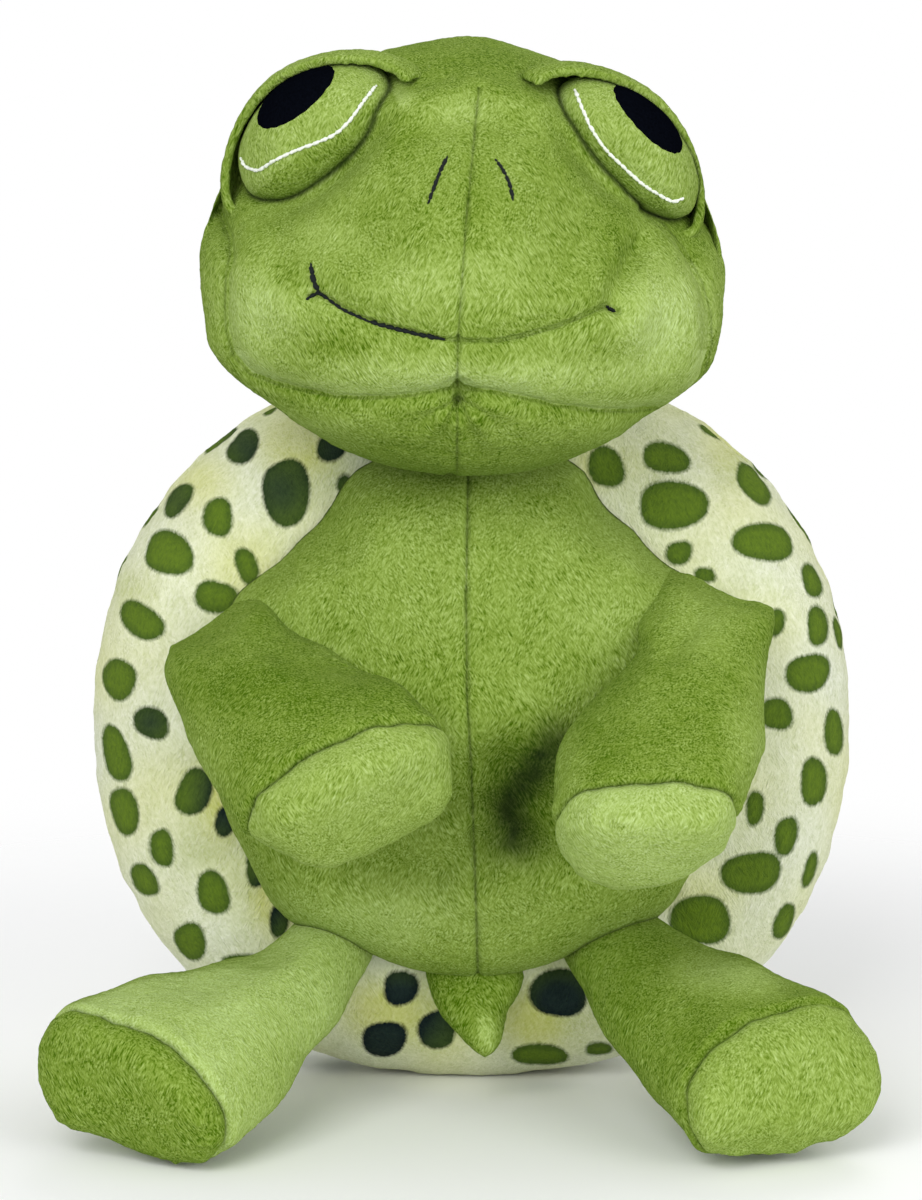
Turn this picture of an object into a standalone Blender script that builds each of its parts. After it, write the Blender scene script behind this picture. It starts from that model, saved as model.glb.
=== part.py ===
"""A sitting plush turtle: sewn covers over fibre filling, with limbs, head and tail that swing.

Metres, +Z up. The turtle faces -Y, its own left is +X, and it sits on z = 0 with the seat at the origin.
Each cover is a thin skin round a filling. A limb's cover is gathered into a ball at its root, which
turns in a socket of the body, and the head turns on a ball of filling.
"""

import math

import bmesh
import bpy
from mathutils import Matrix, Vector
from mathutils.bvhtree import BVHTree

# Cloth and clearances
cloth = 0.0018
rest_gap = 0.0003
turn_gap = 0.0008
filling_gap = 0.0006
seam_gap = 0.0003
sit_flat = 0.0005
overrun = 0.004

# Shell and belly, both lying about the Y axis
shell_half_width = 0.0910
shell_rise = 0.0860
shell_drop = 0.0862
shell_back_depth = 0.0500
shell_ring_depth = 0.0250
shell_lean = math.radians(4)
seam_before_seat = 0.0018
ring_side_width = 0.0275
ring_top_width = 0.0120
ring_bottom_width = 0.0332
belly_above_shell = 0.0100
belly_half_width = shell_half_width - ring_side_width
belly_rise = shell_rise - ring_top_width - belly_above_shell
belly_drop = shell_drop - ring_bottom_width + belly_above_shell
belly_depth = 0.0570
# each row: mix from belly to shell outline, share of the outline, share of the depth, back to front
shell_back_shares = [(1, 0, 1), (1, 0.49, 0.97), (1, 0.78, 0.76), (1, 0.965, 0.40), (1, 1.024, 0.0)]
shell_ring_shares = [(0.93, 0.975, 0.56), (0.50, 0.975, 0.98), (0, 0.975, 1.02)]
belly_shares = [(0, 0.84, 0.74), (0, 0.47, 0.97), (0, 0, 1)]
body_segments = 12
shell_powers = (2.2, 2.3)
belly_powers = (1.65, 2.35)
belly_edge_points = 24

# Seat pouch of pellets
pouch_half_width = 0.0300
pouch_half_depth = 0.0160
pouch_half_height = 0.0110
pouch_above_seat = 0.0020
pouch_mouth_half_width = 0.0150
pouch_mouth_half_depth = 0.0080

# Neck, a ball of firm filling
neck_radius = 0.0165
neck_back = 0.0060
neck_above_seam = 0.0010

# Head, about its own centre
head_half_width = 0.0595
head_front_depth = 0.0488
head_back_depth = 0.0468
head_rise = 0.0490
head_drop = 0.0515
head_forward = 0.0200
head_above_neck = 0.0408
head_right = 0.0020
head_roll = math.radians(3.5)
# each row: height share, half-width share, front share, back share, bottom to top
lower_head_shares = [
    (-1, 0, 0.36, 0.0),
    (-0.90, 0.44, 0.70, 0.10),
    (-0.62, 0.82, 0.92, 0.52),
    (-0.22, 1.04, 1.06, 0.92),
]
upper_head_shares = [
    (0.14, 1.0, 1.04, 1.04),
    (0.50, 0.86, 0.78, 1.0),
    (0.84, 0.58, 0.36, 0.78),
    (1, 0, -0.20, 0.20),
]
head_segments = 12
face_half_width = 0.0565
face_rise = 0.0400
face_drop = 0.0275
face_back = 0.0020
face_powers = (1.8, 3.0)
face_edge_points = 28

# Eyes, each a pad with a pupil, a stitched line and a lid, in the head's own frame
eye_half_length = 0.0205
eye_half_height = 0.0135
eye_half_depth = 0.0150
eye_out = 0.0345
eye_up = 0.0262
eye_forward = 0.0060
eye_tilt = math.radians(40)
eye_turn = math.radians(14)
lid_thickness = 0.0024
lid_edge_above = 0.0078
pupil_half_length = 0.0115
pupil_half_height = 0.0056
pupil_above = 0.0052
pupil_edge_points = 16
patch_thickness = 0.0008
line_half_height = 0.0050
line_half_length = 0.0165
line_start = math.radians(192)
line_end = math.radians(348)
line_points = 13

# Stitched thread of the mouth and the nostrils, in the head's own frame
thread_radius = 0.0006
thread_above = 0.0006
thread_weld = 0.00001
mouth_half_width = 0.0310
mouth_sag = 0.0075
mouth_up = -0.0070
nostril_out = 0.0055
nostril_splay = 0.0045
nostril_low = 0.0138
nostril_length = 0.0100
nostril_curl = 1.4
mouth_points = 15
nostril_points = 5

# Limbs: each turns about a point of the belly's seam, at an angle from +X
root_opening = 0.0040
arm_ball = 0.0140
arm_half_width = 0.0255
arm_half_thickness = 0.0158
arm_root_width = 0.0120
arm_root_thickness = 0.0100
arm_reach = {"left": 0.0740, "right": 0.0770}
arm_inward = {"left": 0.0200, "right": 0.0370}
arm_drop = {"left": 0.0505, "right": 0.0290}
arm_bow_out = {"left": 0.0080, "right": 0.0090}
arm_seam_angle = {"left": math.radians(26), "right": math.radians(165)}
arm_width_tilt = {"left": math.radians(14), "right": math.radians(14)}
arm_pad_length = 0.0120
arm_swing_gap = 0.0024

leg_ball = 0.0135
leg_half_width = 0.0267
leg_half_thickness = 0.0178
leg_root_width = 0.0125
leg_root_thickness = 0.0104
leg_reach = {"left": 0.0640, "right": 0.0630}
leg_outward = {"left": 0.0405, "right": 0.0480}
leg_centre_height = {"left": 0.0127, "right": 0.0141}
leg_bow_out = {"left": 0.0060, "right": 0.0060}
leg_seam_angle = {"left": math.radians(-61), "right": math.radians(-119)}
leg_width_tilt = {"left": math.radians(6), "right": math.radians(-18)}
leg_pad_length = 0.0090
leg_swing_gap = 0.0040
limb_segments = 6
# each row: share of the way, share from root to full width, share from root to full thickness
limb_shares = [(0.02, 0.0, 0.0), (0.45, 0.70, 0.72), (0.86, 1.05, 1.06), (0.98, 0.86, 0.84)]

tail_ball = 0.0075
tail_swing_gap = 0.0012
tail_forward = 0.0020
tail_half_width = 0.0116
tail_half_thickness = 0.0070
tail_length = 0.0240
tail_dip = math.radians(50)
tail_shares = [(0.0, 0.80, 0.80), (0.36, 0.95, 0.95), (0.96, 0.16, 0.30)]
tail_seam_angle = math.radians(-90)

ball_segments = 14
ball_rows = 8
far = 0.2000

object_name = "plush_turtle"
parts = bpy.data.collections.new(object_name)
cutters = bpy.data.collections.new(object_name + "_cutters")
body_forms = {}


def clear_scene():
    """Removes the starting objects and adds the two collections."""
    for old in list(bpy.data.objects):
        bpy.data.objects.remove(old)
    for group in (parts, cutters):
        bpy.context.scene.collection.children.link(group)


# Materials

def material(name, colour, roughness):
    """A plain Principled material."""
    made = bpy.data.materials.new(name)
    made.use_nodes = True
    shader = made.node_tree.nodes["Principled BSDF"]
    shader.inputs["Base Color"].default_value = (*colour, 1)
    shader.inputs["Roughness"].default_value = roughness
    shader.inputs["Metallic"].default_value = 0
    return made


plush_green = (0.235, 0.350, 0.060)
pad_green = (0.300, 0.420, 0.110)
shade_green = (0.160, 0.250, 0.035)
shell_cream = (0.560, 0.610, 0.380)
filling_white = (0.800, 0.800, 0.780)
pellet_grey = (0.450, 0.450, 0.430)
thread_black = (0.006, 0.007, 0.010)
thread_white = (0.800, 0.820, 0.760)
pile_roughness = 0.9
thread_roughness = 0.6


# Making and joining objects

def new_object(name, mesh, group):
    made = bpy.data.objects.new(name, mesh)
    group.objects.link(made)
    return made


def as_cutter(made):
    made.hide_render = True
    made.display_type = "WIRE"
    return made


def finish_mesh(name, bm, group):
    """Turns a bmesh into a smooth-shaded object with its faces out."""
    bm.normal_update()
    bmesh.ops.recalc_face_normals(bm, faces=bm.faces)
    mesh = bpy.data.meshes.new(name)
    bm.to_mesh(mesh)
    bm.free()
    mesh.shade_smooth()
    made = new_object(name, mesh, group)
    return as_cutter(made) if group is cutters else made


def subdivide(made, levels=1):
    step = made.modifiers.new("soften", "SUBSURF")
    step.levels = levels
    step.render_levels = levels


def inset(made, depth):
    """Moves every face inwards by a depth, or outwards where it is negative."""
    step = made.modifiers.new("inset", "DISPLACE")
    step.strength = -depth
    step.mid_level = 0


def skin(made):
    """Keeps only a layer of cloth, measured inwards."""
    step = made.modifiers.new("cloth", "SOLIDIFY")
    step.thickness = cloth
    step.offset = -1


def combine(made, other, operation="DIFFERENCE"):
    step = made.modifiers.new(operation.lower(), "BOOLEAN")
    step.operation = operation
    step.object = other
    step.solver = "EXACT"


def finish(made, colour, roughness=pile_roughness):
    made.data.materials.append(material(made.name, colour, roughness))
    return made


# Cages and cutters

def ring_growth(segments):
    """How much wider a cage's ring is than the round that it subdivides to."""
    return 4 / (3 + math.cos(math.tau / segments))


def sphere_cage(name, segments, rows, place, group):
    """A sphere whose every vertex is placed from its row, counted from the bottom, and its angle."""
    bm = bmesh.new()
    bmesh.ops.create_uvsphere(bm, u_segments=segments, v_segments=rows - 1, radius=1)
    for vertex in bm.verts:
        height = max(-1, min(1, vertex.co.z))
        row = round((math.pi - math.acos(height)) / math.pi * (rows - 1))
        angle = math.atan2(vertex.co.y, vertex.co.x)
        vertex.co = place(row, angle)
    return finish_mesh(name, bm, group)


def tube_cage(name, stations, group):
    """A closed tube through rings, each given by its centre, its axes and its half-sizes."""
    bm = bmesh.new()
    growth = ring_growth(limb_segments)
    rings = []
    for centre, along, across, half_width, half_thickness in stations:
        third = along.cross(across).normalized()
        ring = []
        for step in range(limb_segments):
            angle = math.tau * step / limb_segments
            offset = across * (half_width * math.cos(angle)) + third * (half_thickness * math.sin(angle))
            ring.append(bm.verts.new(centre + offset * growth))
        rings.append(ring)
    for low, high in zip(rings, rings[1:]):
        for step in range(limb_segments):
            after = (step + 1) % limb_segments
            bm.faces.new((low[step], low[after], high[after], high[step]))
    bm.faces.new(rings[0])
    bm.faces.new(rings[-1])
    return finish_mesh(name, bm, group)


def ellipsoid(name, halves, placing, group):
    bm = bmesh.new()
    bmesh.ops.create_uvsphere(bm, u_segments=ball_segments, v_segments=ball_rows, radius=1)
    bmesh.ops.scale(bm, vec=halves, verts=bm.verts)
    bmesh.ops.transform(bm, matrix=placing, verts=bm.verts)
    return finish_mesh(name, bm, group)


def ball(name, centre, radius, group=cutters):
    return ellipsoid(name, Vector((radius, radius, radius)), Matrix.Translation(centre), group)


def box(name, low, high, placing):
    """A box cutter between two corners, placed by a matrix."""
    bm = bmesh.new()
    bmesh.ops.create_cube(bm, size=1)
    bmesh.ops.scale(bm, vec=high - low, verts=bm.verts)
    bmesh.ops.translate(bm, verts=bm.verts, vec=(low + high) / 2)
    bmesh.ops.transform(bm, matrix=placing, verts=bm.verts)
    return finish_mesh(name, bm, cutters)


def prism(name, outline, front, back, placing):
    """A prism cutter, extruded along Y from one face through the points of an outline."""
    bm = bmesh.new()
    face = bm.faces.new([bm.verts.new((x, front, z)) for x, z in outline])
    drawn = bmesh.ops.extrude_face_region(bm, geom=[face])["geom"]
    ends = [part for part in drawn if isinstance(part, bmesh.types.BMVert)]
    bmesh.ops.translate(bm, verts=ends, vec=(0, back - front, 0))
    bmesh.ops.transform(bm, matrix=placing, verts=bm.verts)
    return finish_mesh(name, bm, cutters)


def thread(name, points, colour):
    """A round stitched thread through points, as a welded mesh."""
    curve = bpy.data.curves.new(name, "CURVE")
    curve.dimensions = "3D"
    curve.bevel_depth = thread_radius
    curve.bevel_resolution = 1
    curve.use_fill_caps = True
    spline = curve.splines.new("POLY")
    spline.points.add(len(points) - 1)
    for place, point in zip(spline.points, points):
        place.co = (*point, 1)
    drawn = new_object(name + "_curve", curve, cutters)
    bpy.context.view_layer.update()
    seen = drawn.evaluated_get(bpy.context.evaluated_depsgraph_get())
    mesh = bpy.data.meshes.new_from_object(seen)
    bpy.data.objects.remove(drawn)
    bm = bmesh.new()
    bm.from_mesh(mesh)
    bmesh.ops.remove_doubles(bm, verts=bm.verts, dist=thread_weld)
    bm.to_mesh(mesh)
    bm.free()
    mesh.name = name
    return finish(new_object(name, mesh, parts), colour, thread_roughness)


# Outlines of the shell and the belly, seen from the front

def rounded(half_width, rise, drop, powers, angle):
    """A point of a round outline whose upper and lower halves have their own height and fullness."""
    c, s = math.cos(angle), math.sin(angle)
    height, power = (rise, powers[0]) if s >= 0 else (drop, powers[1])
    reach = (abs(c) ** power + abs(s) ** power) ** (-1 / power)
    return half_width * reach * c, height * reach * s


shell_centre_z = shell_drop - sit_flat
belly_centre_z = shell_centre_z + belly_above_shell


def shell_outline(angle):
    x, z = rounded(shell_half_width, shell_rise, shell_drop, shell_powers, angle)
    return Vector((x, z + shell_centre_z))


def belly_outline(angle):
    x, z = rounded(belly_half_width, belly_rise, belly_drop, belly_powers, angle)
    return Vector((x, z + belly_centre_z))


def leaned(x, y, z):
    """Leans a point of the body back from a rim that meets the floor just before the seat's centre."""
    return Vector((x, y + z * math.tan(shell_lean) - seam_before_seat, z))


def seam_point(angle):
    """A point of the seam between the belly and the shell."""
    x, z = belly_outline(angle)
    return leaned(x, -shell_ring_depth, z)


body_rows = (
    [(mix, share, depth * shell_back_depth) for mix, share, depth in shell_back_shares]
    + [(mix, share, -depth * shell_ring_depth) for mix, share, depth in shell_ring_shares]
    + [(mix, share, -depth * belly_depth) for mix, share, depth in belly_shares]
)


def body_place(row, angle):
    mix, share, y = body_rows[row]
    centre = Vector((0, belly_centre_z)).lerp(Vector((0, shell_centre_z)), mix)
    outline = belly_outline(angle).lerp(shell_outline(angle), mix)
    x, z = centre.lerp(outline, share * ring_growth(body_segments))
    return leaned(x, y, z)


def body_cage(name, group):
    made = sphere_cage(name, body_segments, len(body_rows), body_place, group)
    subdivide(made)
    return made


# Head, in its own frame and then in the world

neck_pivot = seam_point(math.pi / 2) + Vector((0, neck_back, neck_above_seam))
head_centre = neck_pivot + Vector((-head_right, -head_forward, head_above_neck))
head_place_matrix = Matrix.Translation(head_centre) @ Matrix.Rotation(head_roll, 4, "Y")
head_rows = (
    [(row[0] * head_drop, *row[1:]) for row in lower_head_shares]
    + [(row[0] * head_rise, *row[1:]) for row in upper_head_shares]
)


def head_place(row, angle):
    z, width, front, back = head_rows[row]
    front_y = -front * head_front_depth
    back_y = back * head_back_depth
    middle = (front_y + back_y) / 2
    growth = ring_growth(head_segments)
    half_width = width * head_half_width * growth
    half_depth = (back_y - front_y) / 2 * growth if width else 0
    local = Vector((half_width * math.cos(angle), middle + half_depth * math.sin(angle), z))
    return head_place_matrix @ local


def head_cage(name, group):
    made = sphere_cage(name, head_segments, len(head_rows), head_place, group)
    subdivide(made)
    return made


def face_outline():
    """The front panel's edge, wider than high, drawn in towards the top."""
    angles = [math.tau * step / face_edge_points for step in range(face_edge_points)]
    return [rounded(face_half_width, face_rise, face_drop, face_powers, angle) for angle in angles]


# Limbs

def limb_path(start, bend, end, share):
    """A point and a direction on a path that leaves start, leans to bend and reaches end."""
    rest = 1 - share
    point = start * rest * rest + bend * (2 * share * rest) + end * share * share
    along = (bend - start) * rest + (end - bend) * share
    return point, along.normalized()


def limb_stations(start, bend, end, tilt, sizes):
    root_width, full_width, root_thickness, full_thickness = sizes
    level = Vector((math.cos(tilt), 0, math.sin(tilt)))
    stations = []
    for share, width_share, thickness_share in limb_shares:
        centre, along = limb_path(start, bend, end, share)
        across = (level - along * level.dot(along)).normalized()
        width = root_width + (full_width - root_width) * width_share
        thickness = root_thickness + (full_thickness - root_thickness) * thickness_share
        stations.append((centre, along, across, width, thickness))
    return stations


def body_form(growth):
    """The body's outer form grown by a distance, as a cutter that is made once."""
    if growth not in body_forms:
        body_forms[growth] = body_cage("body_form", cutters)
        inset(body_forms[growth], -growth)
    return body_forms[growth]


def limb_tube(name, stations, depth, gap, group):
    """A limb's tube, drawn in by a depth and cut to lie a gap clear of the body."""
    made = tube_cage(name, stations, group)
    subdivide(made)
    inset(made, depth)
    combine(made, body_form(gap + depth))
    return made


def frame_along(place, along):
    """A matrix at a place whose Z axis lies along a direction."""
    return Matrix.Translation(place) @ along.to_track_quat("Z", "Y").to_matrix().to_4x4()


def limb_pieces(kind, side, stations, pivot, radius, pad_length, end_name, gap):
    """A limb's cover with its root ball, its end pad beyond a flat seam, and its filling."""
    name = f"{kind}_{side}"
    suffix = "_" + side if side else ""
    hollow = limb_tube(name + "_hollow", stations, cloth, gap, cutters)
    low = Vector((-root_opening, -root_opening, -radius - overrun))
    high = Vector((root_opening, root_opening, gap + cloth + overrun))
    cover = limb_tube(f"{kind}_cover{suffix}", stations, 0, gap, parts)
    combine(cover, ball(name + "_ball", pivot, radius), "UNION")
    combine(cover, hollow)
    combine(cover, box(name + "_root", low, high, frame_along(pivot, stations[0][1])))
    pieces = [cover]
    if pad_length:
        end, along = stations[-1][0], stations[-1][1]
        seam = frame_along(end - along * pad_length, along)
        reach = (end - pivot).length
        wide = Vector((reach, reach, 0))
        tall = Vector((0, 0, reach))
        apart = Vector((0, 0, seam_gap))
        combine(cover, box(name + "_beyond", -wide, wide + tall, seam))
        pad = limb_tube(f"{end_name}_pad_{side}", stations, 0, gap, parts)
        combine(pad, hollow)
        combine(pad, box(name + "_pad_beyond", apart - wide, wide + tall, seam), "INTERSECT")
        pieces.append(pad)
    pieces.append(limb_tube(f"{kind}_stuffing{suffix}", stations, cloth + filling_gap, gap, parts))
    return pieces


def arm_stations(side, sign):
    start = seam_point(arm_seam_angle[side])
    reach = Vector((-sign * arm_inward[side], -arm_reach[side], -arm_drop[side]))
    end = start + reach
    bend = start + reach / 2 + Vector((sign * arm_bow_out[side], 0, arm_bow_out[side]))
    sizes = (arm_root_width, arm_half_width, arm_root_thickness, arm_half_thickness)
    return start, limb_stations(start, bend, end, arm_width_tilt[side], sizes)


def leg_stations(side, sign):
    start = seam_point(leg_seam_angle[side])
    end = Vector((start.x + sign * leg_outward[side], start.y - leg_reach[side], leg_centre_height[side]))
    bend = (start + end) / 2 + Vector((sign * leg_bow_out[side], 0, 0))
    sizes = (leg_root_width, leg_half_width, leg_root_thickness, leg_half_thickness)
    return start, limb_stations(start, bend, end, leg_width_tilt[side], sizes)


def tail_stations():
    start = seam_point(tail_seam_angle) - Vector((0, tail_forward, 0))
    along = Vector((0, -math.cos(tail_dip), -math.sin(tail_dip)))
    across = Vector((1, 0, 0))
    stations = []
    for way, width, thickness in tail_shares:
        centre = start + along * (way * tail_length)
        stations.append((centre, along, across, width * tail_half_width, thickness * tail_half_thickness))
    return start, stations


# The pieces

def make_pivot(name, place):
    empty = bpy.data.objects.new(name, None)
    empty.location = place
    parts.objects.link(empty)
    return empty


def hang(pivot, *pieces):
    """Parents pieces to a joint's empty without moving them."""
    for piece in pieces:
        piece.parent = pivot
        piece.matrix_parent_inverse = Matrix.Translation(pivot.location).inverted()


def half_boxes(name, placing):
    """Two boxes, one on each side of a centre seam."""
    gap = seam_gap / 2
    left = box(name + "_left_half", Vector((gap, -far, -far)), Vector((far, far, far)), placing)
    right = box(name + "_right_half", Vector((-far, -far, -far)), Vector((-gap, far, far)), placing)
    return {"left": left, "right": right}


def belly_prism(name, growth):
    """The belly's edge as a prism from in front of it to the middle of the body."""
    share = 1 + growth / belly_half_width
    outline = []
    for step in range(belly_edge_points):
        x, z = belly_outline(math.tau * step / belly_edge_points)
        outline.append((x * share, (z - belly_centre_z) * share + belly_centre_z))
    return prism(name, outline, -belly_depth - overrun, 0, Matrix.Identity(4))


def make_body(sockets, floor):
    """The shell's back and ring, the belly's two panels, the filling and the pouch."""
    halves = half_boxes("body", Matrix.Identity(4))
    belly_out = belly_prism("belly_opening", seam_gap / 2)
    belly_in = belly_prism("belly_edge", -seam_gap / 2)
    lean = Matrix.Translation((0, -seam_before_seat, 0)) @ Matrix.Rotation(-shell_lean, 4, "X")
    behind = box("behind_rim", Vector((-far, seam_gap / 2, -far)), Vector((far, far, far)), lean)
    before = box("before_rim", Vector((-far, -far, -far)), Vector((far, -seam_gap / 2, far)), lean)

    made = []
    for name, keeps, drops, colour in (
        ("shell_back", [behind], [], shell_cream),
        ("shell_front", [before], [belly_out], shell_cream),
        ("belly_left", [belly_in, halves["left"]], [], plush_green),
        ("belly_right", [belly_in, halves["right"]], [], plush_green),
    ):
        panel = body_cage(name, parts)
        skin(panel)
        for keep in keeps:
            combine(panel, keep, "INTERSECT")
        for drop in drops + sockets + [floor]:
            combine(panel, drop)
        made.append(finish(panel, colour))

    place = Matrix.Translation((0, 0, cloth + pouch_above_seat + pouch_half_height))
    halves_pouch = (pouch_half_width, pouch_half_depth, pouch_half_height)
    pouch = ellipsoid("seat_pouch", halves_pouch, place, parts)
    grown = [half + filling_gap for half in halves_pouch]
    pocket = ellipsoid("pouch_pocket", grown, place, cutters)
    low = Vector((-pouch_mouth_half_width, -pouch_mouth_half_depth, -overrun))
    high = Vector((pouch_mouth_half_width, pouch_mouth_half_depth, pouch_half_height))
    filling = body_cage("body_stuffing", parts)
    inset(filling, cloth + filling_gap)
    for cutter in sockets + [pocket, box("pouch_mouth", low, high, Matrix.Identity(4))]:
        combine(filling, cutter)
    made += [finish(filling, filling_white), finish(pouch, pellet_grey)]
    return made


def make_head(neck_socket):
    """The face and back panels of the head and its filling."""
    halves = half_boxes("head", head_place_matrix)
    face_out = prism("face_opening", face_outline(), -far, face_back, head_place_matrix)
    shrink = Matrix.Diagonal((1 - seam_gap / face_half_width, 1, 1 - seam_gap / face_rise, 1))
    face_in = prism("face_edge", face_outline(), -far, face_back - seam_gap, head_place_matrix @ shrink)
    made = []
    for side, half in halves.items():
        panel = head_cage(f"face_{side}", parts)
        skin(panel)
        for keep in (face_in, half):
            combine(panel, keep, "INTERSECT")
        combine(panel, neck_socket)
        made.append(finish(panel, plush_green))
        back = head_cage(f"head_back_{side}", parts)
        skin(back)
        combine(back, half, "INTERSECT")
        for drop in (face_out, neck_socket):
            combine(back, drop)
        made.append(finish(back, shade_green))
    filling = head_cage("head_stuffing", parts)
    inset(filling, cloth + filling_gap)
    combine(filling, neck_socket)
    made.append(finish(filling, filling_white))
    return made


def surface_tree(*makers):
    """A search tree over the evaluated surfaces of some cutters."""
    bpy.context.view_layer.update()
    graph = bpy.context.evaluated_depsgraph_get()
    points, faces = [], []
    for made in makers:
        mesh = made.evaluated_get(graph).to_mesh()
        base = len(points)
        points += [made.matrix_world @ vertex.co for vertex in mesh.vertices]
        faces += [[base + index for index in face.vertices] for face in mesh.polygons]
    return BVHTree.FromPolygons(points, faces)


def stitched(tree, x, z, placing):
    """The place of a thread's centre on a surface, seen from the front of a frame."""
    start = placing @ Vector((x, -far, z))
    along = placing.to_3x3() @ Vector((0, 1, 0))
    hit, normal, _, _ = tree.ray_cast(start, along)
    if normal.dot(along) > 0:
        normal = -normal
    return hit + normal * (thread_radius + thread_above)


def eye_frame(sign):
    """The eye pad's own frame: X along the eye, outwards and down, and Z towards the lid."""
    place = Matrix.Translation((sign * eye_out, -eye_forward, eye_up))
    turn = Matrix.Rotation(sign * eye_turn, 4, "Z")
    tilt = Matrix.Rotation(sign * eye_tilt, 4, "Y")
    return head_place_matrix @ place @ turn @ tilt


def make_eye(side, sign, head_form):
    """One eye: the pad, the pupil patch, the stitched line and the lid."""
    frame = eye_frame(sign)
    halves = Vector((eye_half_length, eye_half_depth, eye_half_height))

    def grown(name, growth, group=cutters):
        return ellipsoid(name, halves + Vector((growth, growth, growth)), frame, group)

    pad = grown(f"eye_{side}", 0, parts)
    combine(pad, head_form)

    outside = grown(f"eye_{side}_outside", rest_gap)
    lid = grown(f"lid_{side}", lid_thickness + rest_gap, parts)
    above = box(f"lid_{side}_above", Vector((-far, -far, lid_edge_above)), Vector((far, far, far)), frame)
    combine(lid, above, "INTERSECT")
    combine(lid, outside)
    combine(lid, head_form)

    ring = []
    for step in range(pupil_edge_points):
        angle = math.tau * step / pupil_edge_points
        ring.append((pupil_half_length * math.cos(angle), pupil_above + pupil_half_height * math.sin(angle)))
    column = prism(f"pupil_{side}_column", ring, -far, 0, frame)
    under_lid = grown(f"pupil_{side}_under_lid", lid_thickness + rest_gap * 2)
    low = Vector((-far, -far, lid_edge_above - rest_gap))
    lid_room = box(f"pupil_{side}_lid_room", low, Vector((far, far, far)), frame)
    combine(under_lid, lid_room, "INTERSECT")
    pupil = grown(f"pupil_{side}", patch_thickness + rest_gap, parts)
    combine(pupil, column, "INTERSECT")
    combine(pupil, outside)
    combine(pupil, under_lid)
    combine(pupil, head_form)

    tree = surface_tree(outside, head_form)
    points = []
    for step in range(line_points):
        angle = line_start + (line_end - line_start) * step / (line_points - 1)
        x, z = line_half_length * math.cos(angle), line_half_height * math.sin(angle)
        points.append(stitched(tree, x, z, frame))
    line = thread(f"eye_line_{side}", points, thread_white)
    return [finish(pad, plush_green), finish(pupil, thread_black), finish(lid, plush_green), line]


def make_face_stitches(head_form):
    """The mouth in one black thread and a nostril on each side."""
    tree = surface_tree(head_form)
    points = []
    for step in range(mouth_points):
        way = 2 * step / (mouth_points - 1) - 1
        x = way * mouth_half_width
        z = mouth_up - mouth_sag * (1 - way * way)
        points.append(stitched(tree, x, z, head_place_matrix))
    made = [thread("mouth_stitch", points, thread_black)]
    for side, sign in (("left", 1), ("right", -1)):
        points = []
        for step in range(nostril_points):
            way = step / (nostril_points - 1)
            x = sign * (nostril_out + nostril_splay * way ** nostril_curl)
            points.append(stitched(tree, x, nostril_low + nostril_length * (1 - way), head_place_matrix))
        made.append(thread(f"nostril_{side}", points, thread_black))
    return made


def build():
    clear_scene()
    floor = box("floor", Vector((-far, -far, -far)), Vector((far, far, 0)), Matrix.Identity(4))
    neck_socket = ball("neck_socket", neck_pivot, neck_radius + turn_gap)
    sockets = [neck_socket]
    head_form = head_cage("head_form", cutters)
    inset(head_form, -rest_gap)

    limbs = []
    for side, sign in (("left", 1), ("right", -1)):
        pivot, stations = arm_stations(side, sign)
        sockets.append(ball(f"arm_{side}_socket", pivot, arm_ball + turn_gap))
        pieces = limb_pieces("arm", side, stations, pivot, arm_ball, arm_pad_length, "paw", arm_swing_gap)
        limbs.append((f"shoulder_{side}", pivot, pieces, (plush_green, pad_green, filling_white)))
        pivot, stations = leg_stations(side, sign)
        sockets.append(ball(f"leg_{side}_socket", pivot, leg_ball + turn_gap))
        pieces = limb_pieces("leg", side, stations, pivot, leg_ball, leg_pad_length, "sole", leg_swing_gap)
        for piece in pieces:
            combine(piece, floor)
        limbs.append((f"hip_{side}", pivot, pieces, (plush_green, pad_green, filling_white)))
    pivot, stations = tail_stations()
    sockets.append(ball("tail_socket", pivot, tail_ball + turn_gap))
    pieces = limb_pieces("tail", "", stations, pivot, tail_ball, 0, "", tail_swing_gap)
    limbs.append(("tail_seam", pivot, pieces, (plush_green, filling_white)))
    for name, pivot, pieces, colours in limbs:
        for piece, colour in zip(pieces, colours):
            finish(piece, colour)
        hang(make_pivot(name, pivot), *pieces)

    make_body(sockets, floor)
    neck = ball("neck_stuffing", neck_pivot, neck_radius, parts)
    hang(make_pivot("neck_turn", neck_pivot), finish(neck, filling_white))

    head = make_head(neck_socket)
    for side, sign in (("left", 1), ("right", -1)):
        head += make_eye(side, sign, head_form)
    head += make_face_stitches(head_form)
    hang(make_pivot("head_nod", neck_pivot), *head)
    print("pieces", len([piece for piece in parts.objects if piece.type == "MESH"]))


build()
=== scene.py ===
# %% [markdown]
# # A plush turtle, dressed in its pile
#
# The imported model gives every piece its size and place, as plain solids. This file gives them their
# looks: sewn and stuffed forms, seams, stitches, the printed shell and a short brushed pile.

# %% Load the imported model
import math

import bpy
import numpy as np
from mathutils import Matrix, Vector, noise
from mathutils.bvhtree import BVHTree


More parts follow.
